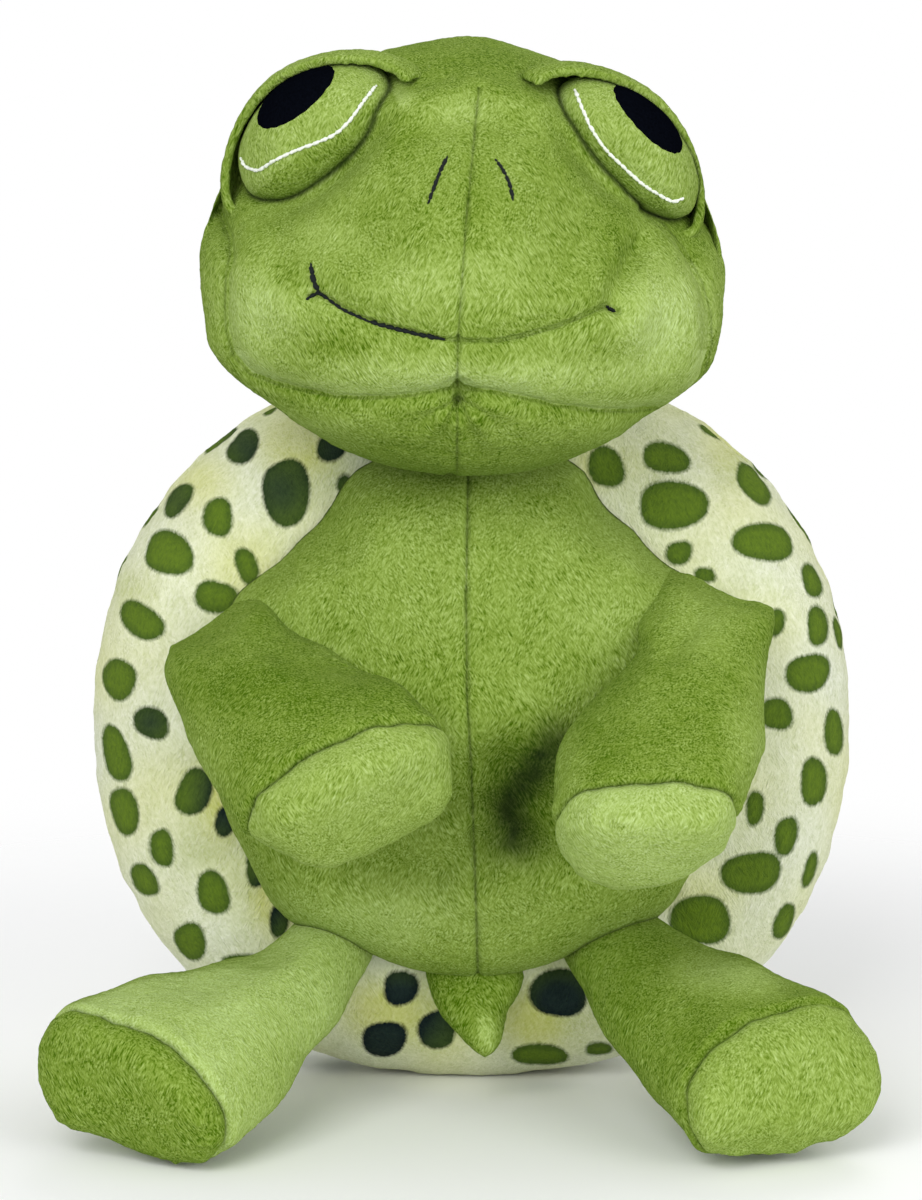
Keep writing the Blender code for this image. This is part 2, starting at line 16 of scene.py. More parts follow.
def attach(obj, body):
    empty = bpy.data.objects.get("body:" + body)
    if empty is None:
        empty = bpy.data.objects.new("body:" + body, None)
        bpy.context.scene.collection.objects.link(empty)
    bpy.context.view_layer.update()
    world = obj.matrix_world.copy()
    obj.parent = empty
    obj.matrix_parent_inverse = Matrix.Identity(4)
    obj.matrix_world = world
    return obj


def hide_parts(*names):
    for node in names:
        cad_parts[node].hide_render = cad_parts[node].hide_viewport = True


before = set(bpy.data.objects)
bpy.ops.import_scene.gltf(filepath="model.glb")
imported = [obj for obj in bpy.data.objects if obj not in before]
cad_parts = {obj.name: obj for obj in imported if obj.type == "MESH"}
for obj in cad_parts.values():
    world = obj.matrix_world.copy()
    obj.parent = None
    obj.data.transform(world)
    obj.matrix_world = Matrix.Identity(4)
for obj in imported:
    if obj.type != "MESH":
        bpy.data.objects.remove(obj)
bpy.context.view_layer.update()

# %% [markdown]
# ## Camera
#
# The photo was taken from a little above, with a long lens, so the soles and the top of the head both
# show. The camera stands where the outlines of the model and of the photo agree. The same numbers turn
# a place on the photo into a line of sight, which later puts the seams, the spots and the brushed
# patches where the photo has them.

# %% Camera
photo_width, photo_height = 922, 1200
camera_height = math.radians(9.5)
camera_distance = 1.100
camera_target = Vector((-0.0026, 0.0041, 0.1148))
focal_pixels = 4583
sensor_height = 24

sight = Vector((0, math.cos(camera_height), -math.sin(camera_height)))
camera_place = camera_target - sight * camera_distance
camera_data = bpy.data.cameras.new("camera")
camera_data.sensor_fit = "VERTICAL"
camera_data.sensor_height = sensor_height
camera_data.lens = sensor_height * focal_pixels / photo_height
camera = bpy.data.objects.new("camera", camera_data)
bpy.context.scene.collection.objects.link(camera)
camera.location = camera_place
camera.rotation_euler = sight.to_track_quat("-Z", "Y").to_euler()
bpy.context.scene.camera = camera

sight_right = np.array((1.0, 0.0, 0.0))
sight_up = np.array(sight.cross(Vector((-1, 0, 0))))
sight_along = np.array(sight)


def on_photo(points):
    """Where points of the model show on the photo, in its pixels."""
    away = points - np.array(camera_place)
    depth = away @ sight_along
    across = photo_width / 2 + focal_pixels * (away @ sight_right) / depth
    down = photo_height / 2 - focal_pixels * (away @ sight_up) / depth
    return np.stack([across, down], axis=1)


def line_of_sight(across, down):
    """The direction from the camera through a pixel of the photo."""
    way = sight_along * focal_pixels + sight_right * (across - photo_width / 2)
    way = way + sight_up * (photo_height / 2 - down)
    return Vector(way).normalized()


print("camera at", [round(value, 3) for value in camera_place], "lens", round(camera_data.lens, 1), "mm")

# %% [markdown]
# ## Light and floor
#
# Plush is matt, so it needs large soft lamps: a broad key from above and in front, a weaker fill from
# the other side, a lamp from behind and an even pale world. The floor is a wide pale sheet that keeps a soft shadow.

# %% Light and floor
bpy.context.scene.view_settings.view_transform = "Standard"


def soft_lamp(name, place, size, watts):
    """A square area lamp that faces the turtle."""
    data = bpy.data.lights.new(name, "AREA")
    data.shape = "SQUARE"
    data.size = size
    data.energy = watts
    lamp = bpy.data.objects.new(name, data)
    bpy.context.scene.collection.objects.link(lamp)
    lamp.location = place
    lamp.rotation_euler = (camera_target - Vector(place)).to_track_quat("-Z", "Y").to_euler()


soft_lamp("key_lamp", (-0.50, -1.15, 0.85), 0.9, 12.5)
soft_lamp("fill_lamp", (0.90, -1.10, 0.40), 0.9, 9)
soft_lamp("back_lamp", (0.30, 1.10, 1.20), 0.8, 6)

floor_size = 8
bpy.ops.mesh.primitive_plane_add(size=floor_size, location=(0, 0, 0))
floor = bpy.context.object
floor.name = "floor"
print("lamps and floor in place")

# %% [markdown]
# ## Shader maths
#
# A small class wraps a socket, so a mask or a mix of noises can be written as a plain expression.

# %% Shader maths
class Wire:
    """A socket of a material, with the operators that add Math nodes."""

    def __init__(self, tree, socket):
        self.tree = tree
        self.socket = socket

    def math(self, operation, other=None, swapped=False):
        node = self.tree.nodes.new("ShaderNodeMath")
        node.operation = operation
        first, second = (1, 0) if swapped else (0, 1)
        self.tree.links.new(self.socket, node.inputs[first])
        if isinstance(other, Wire):
            self.tree.links.new(other.socket, node.inputs[second])
        elif other is not None:
            node.inputs[second].default_value = other
        return Wire(self.tree, node.outputs[0])

    def __add__(self, other):
        return self.math("ADD", other)

    __radd__ = __add__

    def __mul__(self, other):
        return self.math("MULTIPLY", other)

    __rmul__ = __mul__

    def __sub__(self, other):
        return self.math("SUBTRACT", other)

    def __rsub__(self, other):
        return self.math("SUBTRACT", other, swapped=True)

    def clamp(self):
        node = self.tree.nodes.new("ShaderNodeClamp")
        self.tree.links.new(self.socket, node.inputs[0])
        return Wire(self.tree, node.outputs[0])


class Nodes:
    """A node tree and one method that adds any node to it."""

    def __init__(self, tree):
        self.tree = tree

    def node(self, kind, settings=None, values=None, output=0):
        made = self.tree.nodes.new(kind)
        for key, value in (settings or {}).items():
            setattr(made, key, value)
        for key, value in (values or {}).items():
            if isinstance(value, Wire):
                self.tree.links.new(value.socket, made.inputs[key])
            else:
                made.inputs[key].default_value = value
        return Wire(self.tree, made.outputs[output])

    def noise(self, size, detail=2, longer=(1, 1, 1), turn=0.0, rough=0.5):
        """Noise with features of about this size in metres, longer along some axes and turned from them."""
        place = self.node("ShaderNodeTexCoord", output=3)
        placed = self.node("ShaderNodeMapping", {"vector_type": "TEXTURE"}, {
            "Vector": place, "Scale": tuple(size * share for share in longer), "Rotation": (0, turn, 0)
        })
        return self.node("ShaderNodeTexNoise", values={
            "Vector": placed, "Scale": 1.0, "Detail": detail, "Roughness": rough
        })

    def attribute(self, name):
        return self.node("ShaderNodeAttribute", {"attribute_name": name}, output=2)

    def mix(self, share, first, second):
        """A colour between two others."""
        made = self.tree.nodes.new("ShaderNodeMix")
        made.data_type = "RGBA"
        for socket, value in ((made.inputs[0], share), (made.inputs[6], first), (made.inputs[7], second)):
            if isinstance(value, Wire):
                self.tree.links.new(value.socket, socket)
            else:
                socket.default_value = value
        return Wire(self.tree, made.outputs[2])

    def show(self, wire, output_name):
        """Makes a shader the one that is seen."""
        self.tree.links.new(wire.socket, self.tree.nodes[output_name].inputs[0])


class Finish(Nodes):
    """A material, whose shader's values are set by name."""

    def __init__(self, name):
        self.material = bpy.data.materials.new(name)
        self.material.use_nodes = True
        super().__init__(self.material.node_tree)
        self.shader = self.tree.nodes["Principled BSDF"]

    def set(self, key, value):
        if isinstance(value, Wire):
            self.tree.links.new(value.socket, self.shader.inputs[key])
        else:
            self.shader.inputs[key].default_value = value


def linear(red, green, blue):
    """A colour given as it shows on a screen, from 0 to 255, as the shader wants it."""
    return tuple(((level / 255 + 0.055) / 1.055) ** 2.4 for level in (red, green, blue)) + (1,)


print("a mid grey on the screen is", round(linear(128, 128, 128)[0], 2), "of white light")

# %% [markdown]
# The world lights the turtle evenly, and shows plain white where the camera looks past the floor.

# %% World
world = bpy.data.worlds.new("studio")
bpy.context.scene.world = world
world.use_nodes = True
studio = Nodes(world.node_tree)
camera_ray, glossy_ray, through_ray = (
    studio.node("ShaderNodeLightPath", output=name)
    for name in ("Is Camera Ray", "Is Glossy Ray", "Is Transmission Ray")
)
even_light = studio.node("ShaderNodeBackground", values={"Color": (0.98, 0.99, 1.0, 1), "Strength": 0.55})
plain_white = studio.node("ShaderNodeBackground", values={"Color": (1, 1, 1, 1), "Strength": 1.0})
looked_at = (camera_ray + glossy_ray + through_ray).clamp()
lit = studio.node("ShaderNodeMixShader", values={0: looked_at, 1: even_light, 2: plain_white})
studio.show(lit, "World Output")
print("world nodes", len(world.node_tree.nodes))

# %% [markdown]
# ## The pile
#
# The whole toy is cut from short brushed pile. Where the pile leans towards the light it looks pale,
# and where it leans away it looks deep, so one cloth shows many greens; here they are painted light
# and shade in the cloth's colour. Each piece holds a painted value that says how its pile lies and
# where painted light and shade fall, and fine noise breaks it up into tufts and brush strokes.

# %% Pile materials
tuft = 0.0009
strand = 0.00040
strand_turns = math.radians(24), math.radians(-30)
brush_stroke = 0.0040
brushed_patch = 0.0150
# deep_green is the pile in painted shade and pale_green in painted light, with warm_green between them.
deep_green = linear(64, 97, 2)
warm_green = linear(186, 209, 76)
pale_green = linear(187, 209, 138)
seam_and_shade_green = linear(26, 40, 18)


def pile_grain(finish):
    """Tufts, lying strands and brush strokes of the pile, each about 0.5 on average."""
    tufts = finish.noise(tuft, detail=2, longer=(1, 1, 1.5), rough=0.6)
    one_way, other_way = (
        finish.noise(strand, detail=2, longer=(1, 1, 4.5), turn=turn, rough=0.6) for turn in strand_turns
    )
    turned = finish.node("ShaderNodeMapRange", values={
        "Value": finish.noise(brush_stroke * 2, detail=1), "From Min": 0.42, "From Max": 0.58
    })
    strands = one_way * (1 - turned) + other_way * turned
    strokes = finish.noise(brush_stroke, detail=2, longer=(0.7, 0.7, 1.4), rough=0.55)
    return tufts, strands, strokes


def pile_surface(finish, tufts, strands, strokes):
    """Matt cloth with a weak sheen, roughened by its tufts."""
    finish.set("Roughness", 0.95)
    finish.set("Specular IOR Level", 0.03)
    finish.set("Sheen Weight", 0.04)
    finish.set("Sheen Roughness", 0.5)
    finish.set("Sheen Tint", linear(214, 232, 150))
    height = tufts * 0.45 + strands * 0.6 + strokes * 0.16
    finish.set("Normal", finish.node(
        "ShaderNodeBump", values={"Height": height, "Strength": 0.75, "Distance": 0.0010}
    ))


def pile_finish(name, deep, warm, pale):
    finish = Finish(name)
    nap_light_and_shade = finish.attribute("nap_light_and_shade")
    tufts, strands, strokes = pile_grain(finish)
    patches = finish.noise(brushed_patch, detail=2)
    grain = (tufts - 0.5) * 0.34 + (strands - 0.5) * 1.50 + (strokes - 0.5) * 0.14
    # The painted value, with the grain, picks the pile's green from painted shade to painted light.
    lean = (nap_light_and_shade + grain + (patches - 0.5) * 0.24).clamp()
    # The seam value paints dark seam lines, and painted shade where pieces touch, in the belly's crease and in the
    # chin's dimple.
    seam = finish.attribute("seam")
    cloth = finish.mix(lean, deep, finish.mix(lean, warm, pale))
    finish.set("Base Color", finish.mix(seam, cloth, seam_and_shade_green))
    pile_surface(finish, tufts, strands, strokes)
    return finish


green_pile = pile_finish("green_pile", deep_green, warm_green, pale_green)
print("green pile nodes", len(green_pile.tree.nodes))

# %% [markdown]
# The shell is cut from cream pile of the same kind, printed with round green spots. A painted value,
# spot, holds the distance to the nearest spot's edge, so the print stays sharp at any size. Dye sinks
# in more at a spot's edge, which is darker than its middle.

# %% Shell print material
edge_blur = 0.0005
shell_pile = Finish("shell_pile")
spot = shell_pile.attribute("spot")
spot_shade = shell_pile.attribute("depth")
shell_nap_and_shade = shell_pile.attribute("nap_light_and_shade")
shell_tint = shell_pile.attribute("tint")
tufts, strands, strokes = pile_grain(shell_pile)
ragged = spot + (strands - 0.5) * 0.0007 + (tufts - 0.5) * 0.0006
inside = shell_pile.node("ShaderNodeMapRange", values={
    "Value": ragged, "From Min": edge_blur, "From Max": -edge_blur
})
middle = shell_pile.node("ShaderNodeMapRange", values={
    "Value": ragged, "From Min": 0.0, "From Max": -0.0026
})
# The cream's painted value holds painted shade near the belly, along the rim's seam and at the bottom.
cream_lean = (shell_nap_and_shade + (tufts - 0.5) * 0.8 + (strands - 0.5) * 0.9 + (strokes - 0.5) * 0.4).clamp()
cream_deep = shell_pile.mix(shell_tint, linear(180, 190, 142), linear(186, 192, 96))
cream_pale = shell_pile.mix(shell_tint, linear(240, 242, 226), linear(226, 228, 172))
cream = shell_pile.mix(cream_lean, cream_deep, cream_pale)
# The value depth is painted shade: it darkens the spots towards navy where the shell lies in shade, near the belly
# and at the bottom.
spot_edge = shell_pile.mix(spot_shade, linear(60, 84, 34), linear(10, 20, 28))
spot_middle = shell_pile.mix(spot_shade, linear(102, 128, 36), linear(34, 48, 46))
spot_lean = (middle * 0.6 + (tufts - 0.5) * 0.9 + (strands - 0.5) * 0.9 + 0.22).clamp()
spot_colour = shell_pile.mix(spot_lean, spot_edge, spot_middle)
shell_pile.set("Base Color", shell_pile.mix(inside, cream, spot_colour))
pile_surface(shell_pile, tufts, strands, strokes)
print("shell print nodes", len(shell_pile.tree.nodes))

# %% [markdown]
# The pupils are cut from dark pile, the stitches are shiny thread, and the filling inside the covers
# is white fibre, which doesn't show.

# %% Small materials
floor_finish = Finish("pale_floor")
floor_finish.set("Base Color", (0.96, 0.96, 0.96, 1))
floor_finish.set("Roughness", 0.9)
floor_finish.set("Specular IOR Level", 0.0)
floor_place = floor_finish.node("ShaderNodeTexCoord", output=3)
floor_reach = floor_finish.node("ShaderNodeVectorMath", {"operation": "LENGTH"}, {0: floor_place}, output=1)
floor_fade = floor_finish.node(
    "ShaderNodeMapRange", {"interpolation_type": "SMOOTHSTEP"},
    {"Value": floor_reach, "From Min": 0.13, "From Max": 0.36}
)
floor_clear = floor_finish.node("ShaderNodeBsdfTransparent")
floor_bsdf = Wire(floor_finish.tree, floor_finish.shader.outputs[0])
floor_mix = floor_finish.node("ShaderNodeMixShader", values={0: floor_fade, 1: floor_bsdf, 2: floor_clear})
floor_finish.show(floor_mix, "Material Output")
floor.data.materials.append(floor_finish.material)


def thread_finish(name, dark, light):
    finish = Finish(name)
    twist = finish.noise(0.0006, detail=2)
    finish.set("Base Color", finish.mix(twist, dark, light))
    finish.set("Roughness", 0.75)
    finish.set("Specular IOR Level", 0.2)
    finish.set("Normal", finish.node(
        "ShaderNodeBump", values={"Height": twist, "Strength": 0.5, "Distance": 0.0003}
    ))
    return finish


black_thread = thread_finish("black_thread", linear(4, 8, 12), linear(22, 30, 28))
white_thread = thread_finish("white_thread", linear(206, 214, 196), linear(250, 252, 246))
dark_pile = thread_finish("dark_pile", linear(0, 1, 3), linear(9, 12, 20))
dark_pile.set("Specular IOR Level", 0.0)
dark_pile.set("Sheen Weight", 0.0)
fibre = thread_finish("fibre", linear(215, 215, 210), linear(245, 245, 240))

for node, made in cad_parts.items():
    made.data.materials.clear()
    made.data.materials.append(fibre.material)
print("materials", len(bpy.data.materials))

# %% [markdown]
# ## Helpers for stuffed forms
#
# A stuffed part starts as a coarse form with few points, whose place is easy to work out. The helpers
# here read and write all the points of a mesh at once, which is far quicker than one by one.

# %% Points of a mesh
def points_of(piece):
    """All the points of a piece at once, as rows of x, y and z."""
    flat = np.empty(len(piece.data.vertices) * 3, dtype=np.float32)
    piece.data.vertices.foreach_get("co", flat)
    return flat.reshape(-1, 3).astype(float)


def normals_of(piece):
    """The direction that the surface faces at each point."""
    flat = np.empty(len(piece.data.vertices) * 3, dtype=np.float32)
    piece.data.vertex_normals.foreach_get("vector", flat)
    return flat.reshape(-1, 3).astype(float)


def move_points(piece, points):
    piece.data.vertices.foreach_set("co", points.astype(np.float32).ravel())
    piece.data.update()


def push(piece, amounts):
    """Moves points along their normals, outwards where the amount is positive."""
    move_points(piece, points_of(piece) + normals_of(piece) * np.asarray(amounts)[:, None])


def moved_by(matrix, points):
    return points @ np.array(matrix.to_3x3()).T + np.array(matrix.translation)


print("the floor has", len(points_of(floor)), "points")

# %% [markdown]
# A form is a primitive whose rings are put in place one by one. Remeshing then gives it even faces, as
# sculptors do, and subdivision makes it fine and round. A cut with a plane parts it at a seam.

# %% Basic forms
def pick(piece):
    """Makes one object the selected and active one."""
    for other in bpy.context.selected_objects:
        other.select_set(False)
    piece.select_set(True)
    bpy.context.view_layer.objects.active = piece


def apply_step(piece, kind, **settings):
    """Adds a modifier, sets it and applies it."""
    pick(piece)
    step = piece.modifiers.new(kind.lower(), kind)
    for key, value in settings.items():
        setattr(step, key, value)
    bpy.ops.object.modifier_apply(modifier=step.name)


def finer(piece, levels):
    apply_step(piece, "SUBSURF", levels=levels, render_levels=levels)


def remesh(piece, voxel):
    apply_step(piece, "REMESH", mode="VOXEL", voxel_size=voxel, use_smooth_shade=True)


def named(name):
    """Names the primitive that was just added, and its mesh."""
    piece = bpy.context.object
    piece.name = name
    piece.data.name = name
    return piece


def faces_out(piece):
    """Turns every face outwards and smooths the shading."""
    pick(piece)
    bpy.ops.object.mode_set(mode="EDIT")
    bpy.ops.mesh.select_all(action="SELECT")
    bpy.ops.mesh.normals_make_consistent(inside=False)
    bpy.ops.object.mode_set(mode="OBJECT")
    bpy.ops.object.shade_smooth()


def ring_growth(sides):
    """How much further out a ring's points go, because subdivision draws them in again."""
    return 4 / (3 + math.cos(math.tau / sides))


def round_form(name, segments, rows, place):
    """A sphere whose every point is placed from its row, counted from the bottom, and its angle."""
    bpy.ops.mesh.primitive_uv_sphere_add(segments=segments, ring_count=rows - 1, radius=1)
    piece = named(name)
    for vertex in piece.data.vertices:
        row = round((math.pi - math.acos(max(-1, min(1, vertex.co.z)))) / math.pi * (rows - 1))
        vertex.co = place(row, math.atan2(vertex.co.y, vertex.co.x))
    faces_out(piece)
    return piece


def tube_form(name, stations, sides):
    """A cylinder cut into rings, each then placed by its centre, its width direction and its half-sizes."""
    last = len(stations) - 1
    bpy.ops.mesh.primitive_cylinder_add(vertices=sides, radius=1, depth=2)
    piece = named(name)
    for edge in piece.data.edges:
        low, high = (piece.data.vertices[index].co.z for index in edge.vertices)
        edge.select = abs(high - low) > 1
    for polygon in piece.data.polygons:
        polygon.select = False
    bpy.ops.object.mode_set(mode="EDIT")
    bpy.ops.mesh.select_mode(type="EDGE")
    bpy.ops.mesh.subdivide(number_cuts=last - 1)
    bpy.ops.object.mode_set(mode="OBJECT")
    centres = [station[0] for station in stations]
    for vertex in piece.data.vertices:
        index = round((vertex.co.z + 1) / 2 * last)
        centre, across, half_width, half_thickness = stations[index]
        before, after = centres[max(index - 1, 0)], centres[min(index + 1, last)]
        along = (after - before).normalized()
        level = (across - along * across.dot(along)).normalized()
        third = along.cross(level)
        angle = math.atan2(vertex.co.y, vertex.co.x)
        offset = level * (half_width * math.cos(angle)) + third * (half_thickness * math.sin(angle))
        vertex.co = centre + offset * ring_growth(sides)
    faces_out(piece)
    return piece


def cut(piece, place, normal, closed):
    """Removes what lies beyond a plane, and closes the cut with a flat face or leaves it open."""
    pick(piece)
    bpy.ops.object.mode_set(mode="EDIT")
    bpy.ops.mesh.select_all(action="SELECT")
    bpy.ops.mesh.bisect(plane_co=place, plane_no=normal, use_fill=closed, clear_outer=True)
    bpy.ops.object.mode_set(mode="OBJECT")


def cut_copy(source, name, place, normal, gap=0.0001):
    """A copy of a closed form that keeps what lies behind a plane, closed by a flat face."""
    piece = source.copy()
    piece.data = source.data.copy()
    piece.name = name
    piece.data.name = name
    bpy.context.scene.collection.objects.link(piece)
    cut(piece, Vector(place) - Vector(normal) * gap, normal, closed=True)
    return piece


print("a ring of 12 points grows by", round(ring_growth(12), 3))

# %% [markdown]
# Stuffing presses the cloth out from inside, so a large form swells as cloth under a little pressure
# while its seams are held.

# %% Cloth simulation
swell_frames = 20
cloth_quality = 5
cloth_bending = 0.5
least_hold = 0.01


def swell(piece, pressure, cap, held=None):
    """Lets a closed form swell as cloth under pressure. No point moves further than the cap."""
    rest = points_of(piece)
    pick(piece)
    group = piece.vertex_groups.new(name="held")
    weights = held(rest) if held else np.zeros(len(rest))
    for index, weight in enumerate(weights):
        if weight > least_hold:
            group.add([index], float(weight), "REPLACE")
    cloth = piece.modifiers.new("cloth", "CLOTH")
    settings = cloth.settings
    settings.quality = cloth_quality
    settings.use_pressure = True
    settings.uniform_pressure_force = pressure
    settings.vertex_group_mass = "held"
    settings.effector_weights.gravity = 0
    settings.bending_stiffness = cloth_bending
    cloth.point_cache.frame_start = 1
    cloth.point_cache.frame_end = swell_frames
    scene = bpy.context.scene
    for number in range(1, swell_frames + 1):
        scene.frame_set(number)
    seen = piece.evaluated_get(bpy.context.evaluated_depsgraph_get())
    flat = np.empty(len(rest) * 3, dtype=np.float32)
    seen.data.vertices.foreach_get("co", flat)
    moved = flat.reshape(-1, 3) - rest
    length = np.linalg.norm(moved, axis=1, keepdims=True)
    piece.modifiers.remove(cloth)
    piece.vertex_groups.clear()
    scene.frame_set(1)
    move_points(piece, rest + moved * np.minimum(1, cap / np.maximum(length, 1e-9)))
    print(piece.name, "swelled by up to", round(float(np.minimum(length, cap).max()) * 1000, 1), "mm")


print("a form swells for", swell_frames, "frames")

# %% [markdown]
# The seams, creases and brushed patches are given as places on the photo. These helpers say how near
# each point of a piece is to such a place, and fade smoothly, so that nothing has a hard edge.

# %% Places on the photo
pixel_size = camera_distance / focal_pixels


def smooth_share(value, start, end):
    """0 before the start, 1 after the end and smooth between them."""
    share = np.clip((value - start) / (end - start), 0, 1)
    return share * share * (3 - 2 * share)


def near(distance, width):
    """1 on a line and falling smoothly to 0 away from it."""
    return np.exp(-(distance / width) ** 2)


def brush(across, down, radius):
    """1 inside, falling smoothly to 0 at the radius."""
    share = np.clip(np.hypot(across, down) / radius, 0, 1)
    return (1 - share ** 2) ** 2


def line_distance(points, line):
    """How far points on a plane lie from a line through given places."""
    best = np.full(len(points), 1e9)
    for start, end in zip(line, line[1:]):
        start, way = np.array(start, dtype=float), np.array(end, dtype=float) - np.array(start, dtype=float)
        share = np.clip(((points - start) @ way) / (way @ way), 0, 1)
        best = np.minimum(best, np.linalg.norm(points - start - share[:, None] * way, axis=1))
    return best


def within(points, outline):
    """Whether points on a plane lie inside an outline."""
    inside = np.zeros(len(points), dtype=bool)
    for (x1, y1), (x2, y2) in zip(outline, outline[1:] + outline[:1]):
        if y1 == y2:
            continue
        crosses = (points[:, 1] < y1) != (points[:, 1] < y2)
        inside ^= crosses & (points[:, 0] < x1 + (points[:, 1] - y1) * (x2 - x1) / (y2 - y1))
    return inside


def facing(piece):
    """The share by which each point faces the camera, 0 for those that face away."""
    return np.clip(-(normals_of(piece) @ sight_along) * 4, 0, 1)


def lumps(points, size, seed):
    """Smooth noise from -1 to 1 at each point, with features of about this size."""
    shift = Vector((seed * 3.7, seed * 1.3, seed * 2.1))
    return np.array([noise.noise(Vector(point) / size + shift) for point in points])


print("one photo pixel is", round(pixel_size * 1000, 3), "mm")

# %% [markdown]
# A seam draws the cloth in and puckers it, and a hand pulls it into its pose. Both are done as with a
# sculpting brush, along the line of sight of the photo. Only a seam's own faces are made finer.

# %% Seams and pulls
seam_reach = 0.0016
seam_cuts = 2
pucker_length = 0.0042
uneven_length = 0.0019
floor_clearance = 0.0004


def finer_along(piece, *lines):
    """Splits the faces near lines of the photo, so that a narrow seam shows sharply."""
    points = points_of(piece)
    seen = on_photo(points)
    reach = np.min([line_distance(seen, line) for line in lines], axis=0) * pixel_size
    close = (reach < seam_reach) & (facing(piece) > 0)
    for polygon in piece.data.polygons:
        polygon.select = all(close[index] for index in polygon.vertices)
    split = sum(polygon.select for polygon in piece.data.polygons)
    pick(piece)
    bpy.ops.object.mode_set(mode="EDIT")
    bpy.ops.mesh.select_mode(type="FACE")
    bpy.ops.mesh.subdivide(number_cuts=seam_cuts)
    bpy.ops.object.mode_set(mode="OBJECT")
    print(piece.name, "finer along its seams,", split, "faces split")


def draw_in(piece, line, depth, width, raise_beside=0.0, beside=0.0, pucker=0.0):
    """Draws a line of the photo into a piece, raises the cloth on both sides of it and puckers it."""
    points = points_of(piece)
    distance = line_distance(on_photo(points), line) * pixel_size
    amount = -depth * near(distance, width)
    if pucker:
        amount = amount * (1 + pucker * lumps(points, pucker_length, seed=4))
    if raise_beside:
        amount = amount + raise_beside * near(distance - beside, beside)
    push(piece, amount * facing(piece))


def seam_mask(piece, *lines, width=0.0006, uneven=0.0):
    """Where the dark line of a seam shows, darker and lighter along its length where it is uneven."""
    points = points_of(piece)
    seen = on_photo(points)
    mask = np.zeros(len(seen))
    for line in lines:
        mask = np.maximum(mask, near(line_distance(seen, line) * pixel_size, width))
    if uneven:
        mask = mask * (1 - uneven * (0.5 + 0.5 * lumps(points, uneven_length, seed=11)))
    return mask * facing(piece)


def grab(piece, *pulls):
    """Pulls the cloth as a hand does, each time from a place on the photo, right and down by so many pixels."""
    for across, down, right, low, radius in pulls:
        points = points_of(piece)
        seen = on_photo(points)
        hold = brush(seen[:, 0] - across, seen[:, 1] - down, radius)[:, None]
        move_points(piece, points + hold * pixel_size * (right * sight_right - low * sight_up))


def settle(piece):
    """Flattens what would sink into the floor."""
    points = points_of(piece)
    points[:, 2] = np.maximum(points[:, 2], floor_clearance)
    move_points(piece, points)


print("seams are made finer within", seam_reach * 1000, "mm")

# %% [markdown]
# The mesh carries the pile's roughness, and painted values carry the lie of the pile, painted light
# and shade, and the dark of the seams. Where two pieces touch, little light gets in, so painted shade
# darkens them there like a seam.

# %% Pile, contact and dressing
small_tuft, large_tuft = 0.0013, 0.0028


def lay_pile(piece, height=0.00022):
    """Roughens the surface as tufts of pile do."""
    points = points_of(piece)
    tufts = lumps(points, small_tuft, seed=1) * 0.6 + lumps(points, large_tuft, seed=2) * 0.5
    push(piece, tufts * height)


def paint(piece, name, values):
    layer = piece.data.attributes.new(name, "FLOAT", "POINT")
    layer.data.foreach_set("value", np.asarray(values, dtype=np.float32))


def patched_value(piece, base, patches):
    """A base value with patches at places on the photo: the pile's lie with painted light and shade,
    the spots' painted shade and the print's tint.
    """
    seen = on_photo(points_of(piece))
    front = facing(piece)
    nap_light_and_shade = np.full(len(seen), base)
    for across, down, wide, tall, change in patches:
        nap_light_and_shade = nap_light_and_shade + front * change * brush((seen[:, 0] - across) / wide, (seen[:, 1] - down) / tall, 1)
    return np.clip(nap_light_and_shade, 0, 1)


# %% [markdown]
# ## Search trees, contact shade and dressing
#
# A search tree over some surfaces finds how close pieces lie, for painted shade where they touch.
# Dressing gives a piece its finish and the body that it rides on, and hides the solids it stands for.

# %% Search trees, contact shade and dressing


def surface_tree(*pieces):
    """A search tree over the surfaces of some pieces."""
    points, faces = [], []
    for piece in pieces:
        base = len(points)
        points += [vertex.co.copy() for vertex in piece.data.vertices]
        faces += [[base + index for index in face.vertices] for face in piece.data.polygons]
    return BVHTree.FromPolygons(points, faces)


# This mask is used as painted shade where pieces touch.
def contact_shade(piece, tree, width):
    """1 where a piece touches the surfaces of a search tree, falling to 0 away from them."""
    points = points_of(piece)
    reach = np.array([(tree.find_nearest(Vector(point), width * 3)[3] or 1e9) for point in points])
    return near(reach, width)


def dress(piece, finish, slot, body, *nodes):
    """Gives a piece its finish, the body that it rides on and the solids that it stands for."""
    piece.data.materials.clear()
    piece.data.materials.append(finish.material)
    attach(piece, body)
    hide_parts(*nodes)
    print(piece.name, len(piece.data.polygons), "faces")


print("tufts are", small_tuft * 1000, "to", large_tuft * 1000, "mm wide")

# %% [markdown]
# ## Shell
#
# The shell is one big pillow with a seam round its rim: a domed back, and a ring in front round the
# belly. It is made as one form about the front-to-back axis, swells as cloth with the rim held, and is
# cut at the rim into its two panels.

# %% Shell form
shell_half_width, shell_rise, shell_drop = 0.0910, 0.0860, 0.0862
shell_back_depth, shell_ring_depth = 0.0500, 0.0250
shell_lean = math.radians(4)
seam_before_seat = 0.0018
sit_flat = 0.0005
shell_centre_z = shell_drop - sit_flat
belly_centre_z = shell_centre_z + 0.0100
belly_half_width, belly_rise, belly_drop = 0.0635, 0.0640, 0.0630
belly_depth = 0.0570


def rounded(half_width, rise, drop, powers, angle):
    """A point of a round outline whose upper and lower halves have their own height and fullness."""
    across, up = math.cos(angle), math.sin(angle)
    height, power = (rise, powers[0]) if up >= 0 else (drop, powers[1])
    reach = (abs(across) ** power + abs(up) ** power) ** (-1 / power)
    return Vector((half_width * reach * across, height * reach * up))


def shell_outline(angle):
    return rounded(shell_half_width, shell_rise, shell_drop, (2.2, 2.3), angle) + Vector((0, shell_centre_z))


